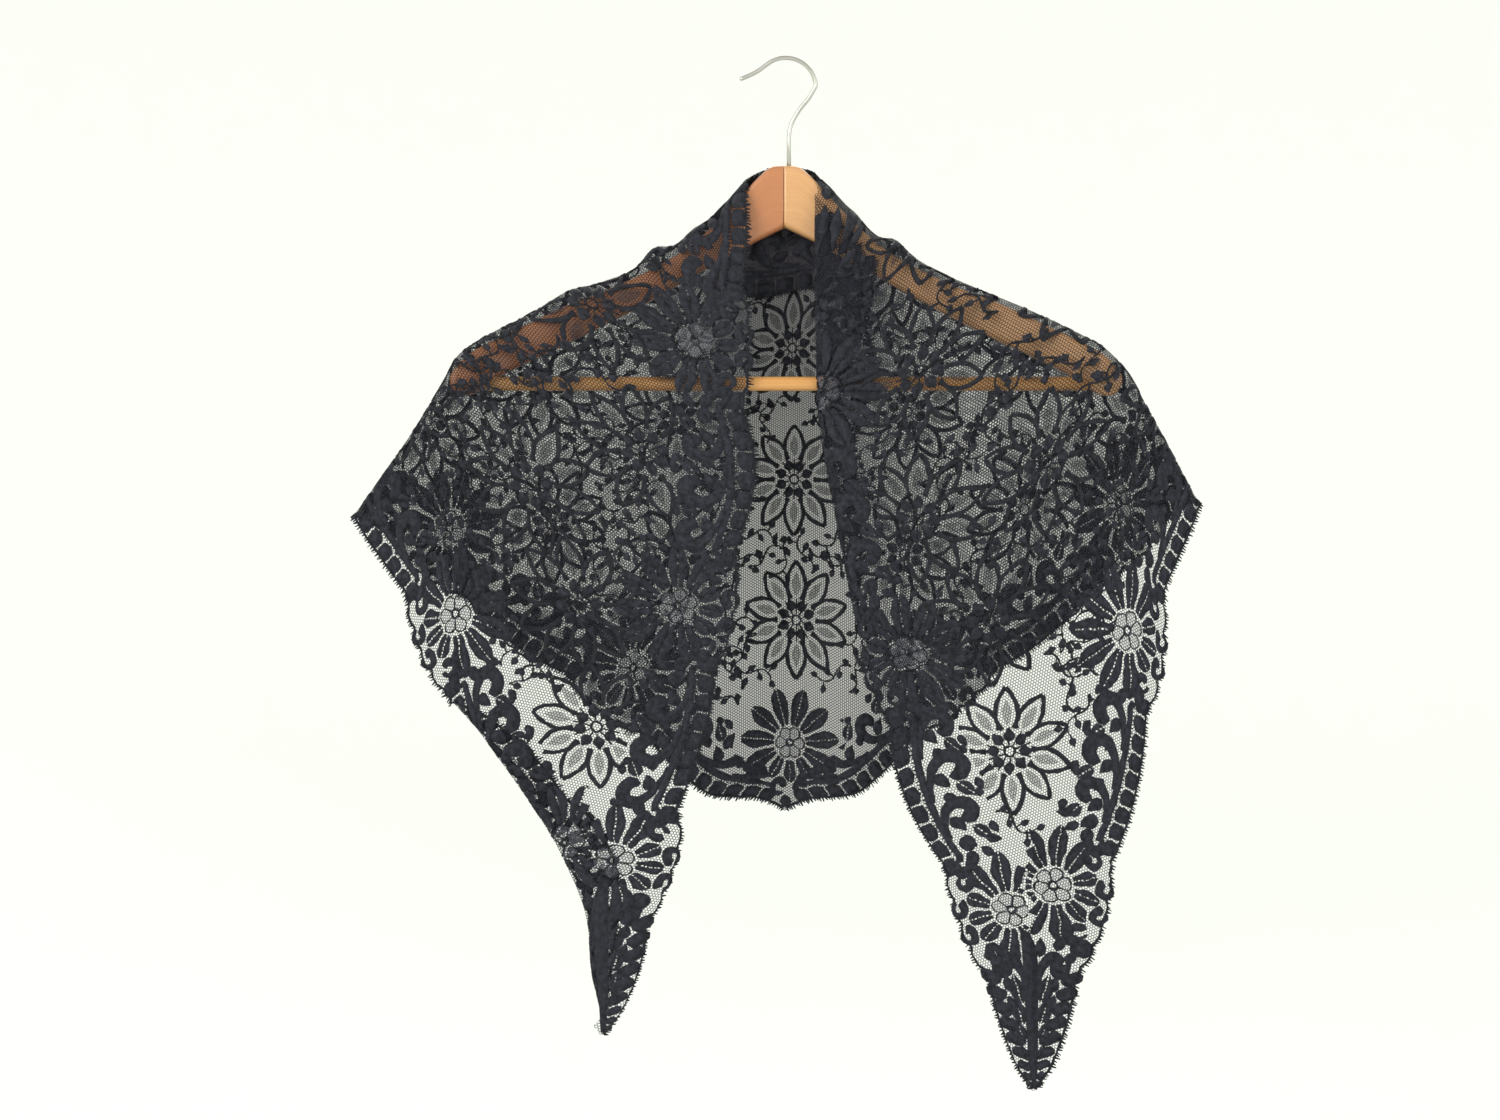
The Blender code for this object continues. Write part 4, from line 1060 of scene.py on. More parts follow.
def curl(radius, width):
    """A scroll round a light eye: an arc whose width grows from a thin end to its head."""
    share = np.linspace(0.0, 1.0, 15)
    angle = np.radians(lerp(CURL_FROM, CURL_TO, share))
    path = (radius * (1.0 - 0.12 * share))[:, None] * coords(np.cos(angle), np.sin(angle))
    return band(path, width * lerp(0.45, 1.0, share) * np.minimum(1.0, (1.02 - share) / 0.06) ** 0.5)


def hook(path, width):
    """A stem that swells along a smooth path into a rounded, curled-over head."""
    share = np.linspace(0.0, 1.0, 20)
    rounded = np.sqrt(np.clip((1.004 - share) / 0.09, 0.0, 1.0))
    return band(curve(path, share), width * lerp(0.3, 1.0, ease(1.3 * share)) * rounded)


def spots(rows, at=0.0, half=0.0):
    """The motifs of a table, moved along by a place; those with an end are measured from
    that end of a stretch of a half length."""
    makers = {"leaf": leaf, "split leaf": split_leaf, "disc": disc, "curl": curl}
    return [
        placed(makers[spot.kind](*spot.sizes), at + spot.end * half + spot.x, spot.y, spot.turn)
        for spot in rows
    ]


def sector_petal(first, last):
    """A split petal along x from a reach to a reach, as wide as its share of the circle
    less a gap, up to a widest, and narrowing to its outer end like a drop."""
    drop = last - PETAL_END
    x = np.concatenate([np.linspace(first, drop, 5), last - PETAL_END * PETAL_END_SHARES])
    width = np.minimum(2 * math.pi / LONG_PETALS * x - PETAL_GAP, WIDEST_PETAL)
    narrowed = np.clip((x - drop) / (PETAL_END + 0.1), 0.0, 1.0)
    return split_ribbon(x, width * (1.0 - narrowed**2) ** 0.65, SPLIT)


def petal_outline():
    """The cord round a field flower's petal: out on one side to the point and back."""
    share = np.linspace(0.0, 1.0, 9)
    half = PETAL_WIDTH / 2 * np.sin(math.pi * (0.1 + 0.9 * share) ** 0.85) ** 0.8
    half[-1] = 0.0
    x = lerp(PETAL_FROM, PETAL_TO, share)
    return joined([band(coords(x, half), CORD), band(coords(x, -half)[::-1], CORD)])


def turns(count, first):
    """Even turns round a circle, from a first one."""
    return first + np.arange(count) * 2 * math.pi / count


def flower_shapes():
    """A field flower: cord outlines with a vein in each petal, the petals' half-tone, and
    dark hearts round a light eye."""
    around = turns(PETALS, math.pi / 2)
    vein = band(coords(np.array(PETAL_VEIN), 0.0), FINE_CORD)
    heart = placed(leaf(9.4, 7.4, 0.75), 6.3, 0.0)
    tone = placed(leaf(17.0, 6.4, 0.9), 16.5, 0.0)
    return {
        "cord": joined([
            placed(petal_outline(), 0.0, 0.0, around),
            round_ribbon(3.4, 1.3),
            placed(vein, 0.0, 0.0, around),
        ]),
        "dense": placed(heart, 0.0, 0.0, turns(HEARTS, math.pi / HEARTS)),
        "tone": placed(tone, 0.0, 0.0, around),
    }


def sprig_shapes():
    """A sprig of the field: a waved vine with oval leaves on short stalks, on one side
    and the other in turn."""
    share = np.linspace(0.0, 1.0, 11)
    x, y = SPRIG_LENGTH * (share - 0.5), SPRIG_WAVE * np.sin(2 * math.pi * share)
    at = np.array([0, 3, 6, 9, 10])
    side = np.array([1, -1, 1, -1, 1])
    stalk = band(np.array([[0.0, 0.0], [1.6, 0.3], [3.2, 0.0]]), VINE)
    return {
        "cord": joined([band(coords(x, y), VINE), placed(stalk, x[at], y[at], 1.1 * side)]),
        "dense": placed(leaf(6.4, 4.4), x[at] + 1.2, y[at] + 2.6 * side, 0.9 * side),
    }


def from_point_flower(a, b):
    """Distance of flat points from the middle of the flower at the back's point."""
    return np.hypot(a - POINT_FLOWER.a, b - POINT_FLOWER.b)


def sprig_places():
    """Places on an offset lattice that are far enough from every flower, from the borders
    and from the leaves beside the neck."""
    a, b = np.meshgrid(
        np.arange(-SPRIG_REACH, SPRIG_REACH + 1.0, SPRIG_STEP),
        np.arange(SPRIGS_FROM, SPRIGS_TO, SPRIG_STEP),
    )
    a = a + SPRIG_STEP / 2 * (np.arange(len(b))[:, None] % 2)
    a, b = a.ravel(), b.ravel()
    flowers = np.array(FLOWERS, float)
    away = np.hypot(a[:, None] - flowers[:, 0], b[:, None] - flowers[:, 1]).min(axis=1)
    kept = (away > SPRIG_CLEAR) & (np.minimum(from_hem(a, b), b) > BORDER + 2.0)
    kept &= ~((a > NECK_CLEAR.start) & (a < NECK_CLEAR.end) & (b < NECK_CLEAR.depth))
    kept &= (from_point_flower(a, b) > POINT_CLEAR) & (np.abs(a) < SPRIG_LIMIT)
    return a[kept], b[kept]


def neck_leaves():
    """The curl and the leaves that spread over the wood beside the neck."""
    made = [placed(curl(5.0, 6.0), *NECK_CURL)]
    for a, b, to_a, to_b, width in NECK_LEAVES:
        long = math.hypot(to_a - a, to_b - b)
        made.append(placed(leaf(long, width), a, b, math.atan2(to_b - b, to_a - a)))
    return joined(made)


def field_pattern():
    """The field's flowers and sprigs, and the leaves beside the neck."""
    a, b = sprig_places()
    return merged([
        each(flower_shapes(), placed, *np.array(FLOWERS, float).T, 0.0),
        each(sprig_shapes(), placed, a, b, GOLDEN_ANGLE * np.arange(len(a))),
        {"dense": neck_leaves()},
    ])


def rosette_shapes():
    """A border flower about its middle, the edge towards -y: a small six-lobed rosette of
    open clothwork, long split petals all round, and curls with a light eye between the
    petals' ends along the edge."""
    angle = np.linspace(0.0, 2 * math.pi, 61)
    way = coords(np.cos(angle), np.sin(angle))
    lobes = ROSETTE * (0.76 + 0.24 * np.abs(np.cos(3 * angle)) ** 0.7)
    reach = coords(ROSETTE_EYE, lobes)[..., None]
    vein = band(coords(np.array(ROSETTE_VEIN), 0.0), FINE_CORD)
    around = turns(LONG_PETALS, -math.pi / 2)
    at_edge = np.sin(around) < -0.6
    step = 2 * math.pi / LONG_PETALS
    between = -math.pi / 2 + step * np.array([-1.5, -0.5, 0.5, 1.5])
    shoulder = joined(spots(SHOULDER))
    return {
        "rosette": grid(reach * way[:, None]),
        "cord": joined([
            band(lobes[:, None] * way, FINE_CORD), placed(vein, 0.0, 0.0, turns(6, math.pi / 6))
        ]),
        "dense": joined([
            round_ribbon(2.5, 1.8, 12),
            placed(sector_petal(ROSETTE + 1.2, LONG_PETAL), 0.0, 0.0, around[~at_edge]),
            placed(sector_petal(ROSETTE + 1.2, SHORT_PETAL), 0.0, 0.0, around[at_edge]),
            placed(curl(4.7, 6.4), CURLS_OUT * np.cos(between), CURLS_OUT * np.sin(between), between),
            shoulder,
            mirrored(shoulder),
        ]),
    }


def scallop_shapes(half):
    """The stretch of border between two flowers, half wide to each side, the edge at
    y = 0: rounded blocks along the edge, a line of light dots, a stem, and hooks that
    branch off it one behind the other, each curled over a rounded leaf."""
    past = half + BLOCKS_PAST
    blocks = np.linspace(-past, past, round(2 * past / BLOCK_STEP) + 1)
    block = pebble((0.0, 0.1), (0.0, BLOCK_DEPTH + 0.7), blocks[1] - blocks[0] - LINE_GAP)
    line = BLOCK_DEPTH + 0.6 + DOT_LINE / 2
    stem = np.linspace(-half - STEM_PAST, half + STEM_PAST, 24)
    rise = np.array(HOOK_RISE, float)
    starts = -half - 2.0 + (2 * half - 8.0) / 3 * np.arange(3)
    return {
        "dense": joined([
            placed(block, blocks, 0.0),
            placed(patch(0.9, DOT_LINE + 0.4), np.arange(-half, half, BAR_STEP), line),
            band(coords(stem, line + DOT_LINE / 2 + STEM_GAP), STEM),
            placed(hook(rise, 9.6), starts[:2], 0.0),
            placed(hook(rise * SMALL_HOOK + SMALL_HOOK_SHIFT, 9.0), starts[2], 0.0),
            *spots(HOOK_HEADS, starts),
            *spots(STRETCH_ENDS, 0.0, half),
        ]),
    }


def tip_shapes():
    """The last stretch to a tip, x along from the tip and y across: a dark rib, split
    leaves that branch off it, and a column of rounded blocks along each edge, all growing
    with the width of the tip, up to a spread of hooks and leaves."""
    slope = math.tan(math.atan(POINT_SLOPE) / 2)
    across = (1.0, -1.0)
    rib = np.array(TIP_RIB, float)
    made = [band(rib[:, :2], rib[:, 2])]
    for place in TIP_BLOCKS:
        edge = place * slope + min(0.035 * place, 1.8)
        depth = min(edge - 1.2, TIP_BLOCK_DEPTH)
        start, end = (place - 0.3 * depth, edge - depth), (place + 0.16 * depth, edge)
        block = pebble(start, end, min(0.125 * place + 2.2, TIP_BLOCK_WIDTH))
        made += [block, mirrored(block, across)]
    for place, long in TIP_LEAVES:
        inner = placed(split_leaf(long, 0.52 * long, SPLIT, 0.75), place, 3.4 + 0.04 * place, 0.29)
        made += [inner, mirrored(inner, across)]
    outer = joined(spots(TIP_OUTER_LEAVES))
    top = joined([placed(hook(np.array(TIP_HOOK, float), 8.0), 92.0, 0.0), *spots(TIP_TOP)])
    made += [outer, mirrored(outer, across), top, mirrored(top, across), *spots(TIP_BESIDE)]
    return {"dense": joined(made)}


def edge_shapes(first, last, edge):
    """The cord along the edge and its picots, as shapes in (along, inward)."""
    along = np.arange(first, last, 2.0)
    tips = np.arange(first, last - 1.0, PICOT_STEP)
    base = edge(tips)
    end = base - PICOT * (0.8 + 0.3 * np.sin(1.7 * tips) * np.sin(0.31 * tips))
    lean = 0.6 * np.sin(2.3 * tips)
    picots = np.stack([
        coords(tips - PICOT_FOOT, base + 0.3), coords(tips + PICOT_FOOT, base + 0.3),
        coords(tips + PICOT_END + lean, end), coords(tips - PICOT_END + lean, end),
    ], axis=1)
    faces = np.arange(4 * len(tips)).reshape(-1, 4)
    cord = band(coords(along, edge(along) + 0.7), EDGE_CORD)
    return joined([cord, Shape(picots.reshape(-1, 2), faces)])


def border_run(stops, flowers, first, last, edge):
    """One run of the border in (along, inward): a flower at each of its places, a stretch
    of scallop between each stop and the next, and the edge. Everything near the edge
    follows its scallops."""
    parts = [each(rosette_shapes(), placed, flowers, FLOWER_CENTRE)]
    for start, end in zip(stops[:-1], stops[1:]):
        half = (end - start) / 2 - FLOWER_HALF
        parts.append(each(scallop_shapes(half), placed, (start + end) / 2, 0.0))

    def following(shape):
        along, inward = shape.points.T
        follow = edge(along) * (1.0 - ease(inward / FOLLOWS_EDGE))
        return Shape(coords(along, inward + follow), shape.faces)

    run = each(merged(parts), following)
    run["cord"] = joined([run["cord"], edge_shapes(first, last, edge)])
    return run


def wandered(points):
    """Flat points moved a little, as threads lie: two waves on each axis, about 6 mm and
    3 mm long, each with its crests slanted across the other axis."""
    a, b = points.T
    east = np.sin(1.07 * a + 0.61 * b) + 0.6 * np.sin(2.3 * b - 0.7 * a)
    north = np.sin(0.97 * b - 0.53 * a) + 0.6 * np.sin(2.1 * a + 0.9 * b)
    return points + WANDER * coords(east, north)


def in_field(shape):
    """The part of a shape that lies inside the borders."""
    a, b = shape.points.T
    return faces_where(shape, np.minimum(b, from_hem(a, b)) > BORDER - 2.0)


def by_long_edge(shape):
    """The part of a shape that lies nearer to the long edge than to the hem."""
    a, b = shape.points.T
    return faces_where(shape, b <= from_hem(a, b) + MITRE_LAP)


def by_hem(shape, sign):
    """A shape in (along, inward) laid along the hem of one half: the part of it nearer to
    the hem than to the long edge, in its own half, and off the flower at the point."""
    along, inward = shape.points.T
    a, b = hem_point(sign, along, inward)
    kept = (inward <= b + MITRE_LAP) & (sign * a >= -HALVES_LAP)
    at_edge = inward < BACK_POINT_CUT + BLOCK_DEPTH + 3.0
    kept &= at_edge | (from_point_flower(a, b) > POINT_FLOWER_REACH)
    return faces_where(Shape(coords(a, b), shape.faces[:, ::sign]), kept)


def at_tip(shape, sign):
    """A shape of the tip, put at the tip of one half. The left tip's hem is turned in, so
    its side of the shape starts further up."""
    if sign < 0:
        along, across = shape.points.T
        shape = faces_where(shape, (along > LEFT_TIP_GAP) | (across > LEFT_TIP_SIDE))
    tip = placed(shape, LONG_EDGE_HALF, 0.0, math.pi - math.atan(POINT_SLOPE) / 2)
    return tip if sign > 0 else mirrored(tip)


def whole_pattern():
    """The pattern of the whole triangle: the field, the long edge, the hem and the tip of
    each half, and the flower at the back's point."""
    end = LONG_EDGE_HALF - TIP_SLOPE * TIP_CUT - TIP_CORD_GAP
    stops = LONG_EDGE_REPEAT * np.arange(-3, 4)
    long_run = border_run(stops, stops, -end, end, lambda u: long_edge(np.abs(u)))
    parts = [each(field_pattern(), in_field), each(long_run, by_long_edge)]
    start, end = POINT_SLOPE * BACK_POINT_CUT, HEM_HALF - TIP_SLOPE * TIP_CUT
    for sign, gap in ((-1, LEFT_TIP_GAP), (1, TIP_CORD_GAP)):
        run = border_run((0.0, *HEM_FLOWERS), HEM_FLOWERS, start, end - gap, hem_edge)
        parts += [each(run, by_hem, sign), each(tip_shapes(), at_tip, sign)]
    parts.append(each(rosette_shapes(), placed, *POINT_FLOWER, math.pi))
    parts.append({"dense": placed(disc(4.4), *POINT_DISC)})
    return merged(parts)


def linear(code):
    """Linear colour of an sRGB hex value."""
    values = np.array([int(code[i : i + 2], 16) for i in (1, 3, 5)]) / 255.0
    return (*np.where(values <= 0.04045, values / 12.92, ((values + 0.055) / 1.055) ** 2.4), 1.0)


def feed(tree, made, inputs):
    """Gives a node its inputs: each a value, a socket, or a node for its first output."""
    for name, value in inputs.items():
        if isinstance(value, bpy.types.Node):
            value = value.outputs[0]
        if isinstance(value, bpy.types.NodeSocket):
            tree.links.new(value, made.inputs[name])
        else:
            made.inputs[name].default_value = value


def node(tree, kind, inputs=None, **settings):
    """Adds a shader node with its settings and its inputs."""
    made = tree.nodes.new("ShaderNode" + kind)
    for name, value in settings.items():
        setattr(made, name, value)
    feed(tree, made, inputs or {})
    return made


def finish_of(name, **values):
    """A material with values on its shader's own sockets, its tree, its shader, and the
    piece's flat place in metres."""
    made = bpy.data.materials.new(name)
    made.use_nodes = True
    tree = made.node_tree
    shader = tree.nodes["Principled BSDF"]
    feed(tree, shader, {key.replace("_", " "): value for key, value in values.items()})
    return made, tree, shader, node(tree, "TexCoord").outputs["UV"]


def hex_net(tree, place, bare, thread):
    """Cover of a net of round-cornered six-sided holes: three cosine waves 60 degrees
    apart add up to a high in the middle of each hole and a low on the threads."""
    wave = 4 * math.pi / (math.sqrt(3.0) * NET_PITCH * MILLIMETRE)
    total = 0.0
    for angle in (0.0, math.pi / 3, 2 * math.pi / 3):
        way = (wave * math.cos(angle), wave * math.sin(angle), 0.0)
        dot = node(tree, "VectorMath", {0: place, 1: way}, operation="DOT_PRODUCT")
        crest = node(tree, "Math", {0: dot.outputs["Value"]}, operation="COSINE")
        total = node(tree, "Math", {0: total, 1: crest})
    return node(
        tree, "MapRange",
        {"Value": total, "From Min": -1.2, "From Max": 0.4, "To Min": thread, "To Max": bare},
        interpolation_type="SMOOTHSTEP",
    )


def net_finish(name, colour, bare, thread, shade=0.0):
    """Bobbinet of fine black polyamide, machine twisted: even six-sided holes of about
    1.3 mm, drawn at 1.9 mm so that they show. A painted shade closes the holes of the
    back by as much as two layers darken each other, most in its middle under the neck."""
    made, tree, shader, place = finish_of(
        name, Base_Color=linear(colour), Roughness=0.8, IOR=1.53, Specular_IOR_Level=0.2
    )
    # Painted shade: the holes close further towards the middle and the top of the back.
    if shade:
        apart = node(tree, "SeparateXYZ", {"Vector": place})
        beside = node(tree, "Math", {0: apart.outputs["X"]}, operation="ABSOLUTE")
        near, below = (
            node(tree, "MapRange", {"Value": value, "From Min": fade.full, "From Max": fade.none,
                                    "To Min": most, "To Max": 0.0})
            for value, fade, most in (
                (beside, PAINTED_SHADE_HALF, 1.0), (apart.outputs["Y"], PAINTED_SHADE_DOWN, shade)
            )
        )
        bare = node(tree, "Math", {0: near, 1: below, 2: bare}, operation="MULTIPLY_ADD")
    feed(tree, shader, {"Alpha": hex_net(tree, place, bare, thread)})
    return made


def clothwork_finish(name, colour, cover=None):
    """Clothwork: rayon floss laid side by side by the lace machine, one ridge for each
    thread, matt black with a soft sheen, its tone varying over some 3 to 8 mm. Open
    clothwork has threads left out: a cover is the least and the most that it hides."""
    made, tree, shader, place = finish_of(
        name, Base_Color=linear(colour), Roughness=0.72, IOR=1.5, Specular_IOR_Level=0.2,
        Sheen_Weight=0.03, Sheen_Roughness=0.5,
    )
    ridges = node(
        tree, "TexWave",
        {"Vector": place, "Scale": FLOSS_WAVE / (FLOSS * MILLIMETRE), "Distortion": 2.0,
         "Detail": 2.0, "Detail Scale": 3.0},
        wave_type="BANDS", bands_direction="DIAGONAL",
    ).outputs["Fac"]
    relief = {"Height": ridges, "Strength": 0.6, "Distance": FLOSS_RELIEF * MILLIMETRE}
    worn = node(
        tree, "TexNoise",
        {"Vector": place, "Scale": 1.0 / (WORN * MILLIMETRE), "Detail": 3.0, "Roughness": 0.7},
    )
    tone = node(tree, "ValToRGB", {"Fac": worn})
    for stop, at, share in zip(tone.color_ramp.elements, (0.36, 0.68), (0.45, 1.9)):
        stop.position = at
        stop.color = (*(np.array(linear(colour)[:3]) * share), 1.0)
    feed(tree, shader, {"Base Color": tone, "Normal": node(tree, "Bump", relief)})
    if cover is not None:
        low, high = cover
        shown = node(tree, "MapRange", {"Value": ridges, "To Min": low, "To Max": high})
        feed(tree, shader, {"Alpha": shown})
    return made


def wood_finish(name, dark, light):
    """Lacquered beech: pale brown with long grain streaks about 1.5 mm apart and short
    dark flecks of 2 to 3 mm, under a clear satin lacquer."""
    made, tree, shader, place = finish_of(
        name, Roughness=0.42, IOR=1.5, Coat_Weight=0.5, Coat_Roughness=0.22
    )
    long = node(tree, "Mapping", {"Vector": place, "Scale": (12.0, 420.0, 1.0)})
    grain = node(
        tree, "TexNoise",
        {"Vector": long, "Scale": 1.0, "Detail": 5.0, "Roughness": 0.6, "Distortion": 0.6},
    )
    short = node(tree, "Mapping", {"Vector": place, "Scale": (330.0, 2100.0, 1.0)})
    fleck = node(tree, "TexNoise", {"Vector": short, "Scale": 1.0, "Detail": 2.0})
    flecks = node(
        tree, "MapRange", {"Value": fleck, "From Min": 0.62, "From Max": 0.72, "To Max": 0.35}
    )
    streaks = node(tree, "ValToRGB", {"Fac": grain})
    for stop, at, colour in zip(streaks.color_ramp.elements, (0.3, 0.7), (dark, light)):
        stop.position = at
        stop.color = linear(colour)
    relief = {"Height": grain, "Strength": 0.25, "Distance": 0.1 * MILLIMETRE}
    feed(tree, shader, {
        "Base Color": node(
            tree, "MixRGB", {"Fac": flecks, "Color1": streaks, "Color2": linear("#6b3f22")}
        ),
        "Normal": node(tree, "Bump", relief),
    })
    return made


def steel_finish():
    """Bright nickel-plated spring wire, drawn: fine length-wise lines under a soft gloss."""
    made, tree, shader, place = finish_of(
        "nickel-plated drawn wire", Base_Color=linear("#b9b6b0"), Metallic=1.0
    )
    lines = node(tree, "Mapping", {"Vector": place, "Scale": (30.0, 4000.0, 1.0)})
    drawn = node(tree, "TexNoise", {"Vector": lines, "Scale": 1.0, "Detail": 3.0})
    gloss = node(tree, "MapRange", {"Value": drawn, "To Min": 0.2, "To Max": 0.42})
    feed(tree, shader, {"Roughness": gloss})
    return made


def add_piece(name, points, faces, material, uv=None, caps=()):
    """A mesh object at the origin, from points in millimetres. uv is one pair for each
    point, in metres."""
    mesh = bpy.data.meshes.new(name)
    mesh.from_pydata((points * MILLIMETRE).tolist(), [], faces.tolist() + list(caps))
    mesh.polygons.foreach_set("use_smooth", np.ones(len(mesh.polygons), bool))
    if uv is not None:
        corner = np.empty(len(mesh.loops), np.int32)
        mesh.loops.foreach_get("vertex_index", corner)
        layer = mesh.uv_layers.new(name="laid flat")
        layer.data.foreach_set("uv", uv[corner].astype(np.float32).ravel())
    mesh.materials.append(material)
    made = bpy.data.objects.new(name, mesh)
    bpy.context.scene.collection.objects.link(made)
    return made


def weld(piece):
    """Joins the points of grids that meet."""
    work = bmesh.new()
    work.from_mesh(piece.data)
    bmesh.ops.remove_doubles(work, verts=work.verts, dist=0.02 * MILLIMETRE)
    work.to_mesh(piece.data)
    work.free()


def doubled_areas(shape):
    """Twice the signed area of each four-sided face of a flat shape."""
    corners = shape.points[shape.faces]
    cut = corners[:, 2] - corners[:, 0]
    other = corners[:, 3] - corners[:, 1]
    return cut[:, 0] * other[:, 1] - cut[:, 1] * other[:, 0]


def net_sheet(name, stretches, material, facing):
    """A stretch of the net from flat grids and their hung places, wound so that its
    faces look to the outside. Returns it and its flat area in square metres."""
    shapes = []
    for flat, _ in stretches:
        shape = grid(flat)
        if doubled_areas(shape).sum() * facing < 0:
            shape = Shape(shape.points, shape.faces[:, ::-1])
        shapes.append(shape)
    net = joined(shapes)
    places = np.concatenate([place.reshape(-1, 3) for _, place in stretches])
    piece = add_piece(name, places, net.faces, material, net.points * MILLIMETRE)
    weld(piece)
    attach(piece, "root")
    return piece, np.abs(doubled_areas(net)).sum() / 2 * MILLIMETRE**2


Thread = namedtuple("Thread", "label material wall front")


def lifts(shape):
    """A small lift for each point, different for each run of points that faces join, so
    that crossing motifs never lie in one plane."""
    low, high = shape.faces.min(axis=1), shape.faces.max(axis=1)
    steps_in = np.zeros(len(shape.points) + 1)
    np.add.at(steps_in, low + 1, 1)
    np.add.at(steps_in, high + 1, -1)
    piece = np.cumsum(np.cumsum(steps_in)[:-1] == 0)
    return MOST_LIFT * (piece * GOLDEN_SHARE % 1.0)


def unstretched(shape, place):
    """The shape without the faces that a jump between stretches would pull long."""
    flat, hung = shape.points[shape.faces], place[shape.faces]
    before = np.linalg.norm(flat - np.roll(flat, 1, axis=1), axis=-1).max(axis=1)
    after = np.linalg.norm(hung - np.roll(hung, 1, axis=1), axis=-1).max(axis=1)
    return Shape(shape.points, shape.faces[after < STRETCH * before + STRETCH])


def add_lace(where, thread, shape, place):
    """Threads of one kind on one stretch: a thin sheet, or a thin shell of a wall."""
    shape = unstretched(shape, place)
    used, faces = np.unique(shape.faces, return_inverse=True)
    piece = add_piece(
        f"{thread.label}_{where}", place[used], faces.reshape(-1, 4), thread.material,
        shape.points[used] * MILLIMETRE,
    )
    if thread.wall:
        shell = piece.modifiers.new("wall", "SOLIDIFY")
        shell.thickness = thread.wall * MILLIMETRE
        shell.offset = 0.0
    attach(piece, "root")
    return piece


def tube(path, radius, sides=20):
    """A tube round a path in the plane y = 0, its rings square to the path and the last
    ones drawn in to a rounded end. Returns points, faces, uv and the two caps."""
    step = np.gradient(path, axis=0)
    step = step / np.linalg.norm(step, axis=1, keepdims=True)
    reach = np.full(len(path), radius)
    length = lengths(path)
    left = length[-1] - length
    rounded = left < radius
    reach[rounded] = np.sqrt(np.maximum(radius**2 - (radius - left[rounded]) ** 2, 0.04))
    angle = np.linspace(0.0, 2 * math.pi, sides, endpoint=False)
    side = coords(-step[:, 1], step[:, 0])
    x = path[:, :1] + side[:, :1] * reach[:, None] * np.cos(angle)
    z = path[:, 1:] + side[:, 1:] * reach[:, None] * np.cos(angle)
    y = reach[:, None] * np.sin(angle)
    return rings(coords(x, y, z), coords(length[:, None], angle * radius))


def rings(points, uv):
    """Faces round a stack of closed rings, with a cap at each end."""
    rows, sides = points.shape[:2]
    index = np.arange(rows * sides).reshape(rows, sides)
    turned_on = np.roll(index, -1, axis=1)
    around = [index[:-1], turned_on[:-1], turned_on[1:], index[1:]]
    faces = np.stack(around, axis=-1).reshape(-1, 4)
    caps = [index[0, ::-1].tolist(), index[-1].tolist()]
    return points.reshape(-1, 3), faces, uv.reshape(-1, 2) * MILLIMETRE, caps


def hook_path():
    """Middle line of the wire: up the shank, out to the right, over the top, and a tail."""
    arc = np.radians(np.linspace(HOOK_ARC_FROM, HOOK_ARC_TO, 60))
    over = coords(
        HOOK_CENTRE_X + HOOK_RADIUS * np.cos(arc),
        WIRE_RADIUS - HOOK_RADIUS + HOOK_RADIUS * np.sin(arc),
    )
    neck = curve(HOOK_NECK + [Point(*over[0])], np.linspace(0.0, 1.0, 30))
    tail = curve([Point(*over[-1])] + HOOK_TAIL, np.linspace(0.0, 1.0, 24))
    foot = np.array([[SHANK_X, SHANK_FOOT]])
    return np.concatenate([foot, neck, over[1:], tail[1:]])


def arm_rings(sign):
    """The rings of an arm: round-cornered rectangles whose top, foot and thickness run
    smoothly through the sections, along the hanger's sweep."""
    knots = [arm.x for arm in ARM_SECTIONS]
    sizes = [(arm.top, arm.bottom, arm.thickness) for arm in ARM_SECTIONS]
    near_ends = 0.5 - 0.5 * np.cos(np.linspace(0.0, math.pi, ARM_STATIONS))
    stations = ARM_REACH * lerp(np.linspace(0.0, 1.0, ARM_STATIONS), near_ends, 0.6)
    top, bottom, thickness = spline(knots, sizes, stations).T[:, :, None]
    x = sign * stations
    x[0] = MITRE_X + sign * MITRE_GAP / 2
    radius = np.minimum(ARM_CORNER, 0.45 * np.minimum(thickness, top - bottom))
    turn = np.linspace(0.0, math.pi / 2, CORNER_POINTS)
    angle = np.concatenate([turn + k * math.pi / 2 for k in range(4)])
    side = np.repeat([1.0, -1.0, -1.0, 1.0], CORNER_POINTS)
    above = np.repeat([1.0, 1.0, 0.0, 0.0], CORNER_POINTS)
    y = sweep(x)[:, None] + side * (thickness / 2 - radius) + radius * np.cos(angle)
    level = np.where(above > 0, top - radius, bottom + radius)
    z = level + radius * np.sin(angle)
    points = coords(x[:, None], y, z)
    along = lengths(points.mean(axis=1))[:, None]
    uv = coords(along, z - top + 0.4 * (y - sweep(x)[:, None]))
    if sign > 0:
        points, uv = points[:, ::-1], uv[:, ::-1]
    return rings(points, uv)


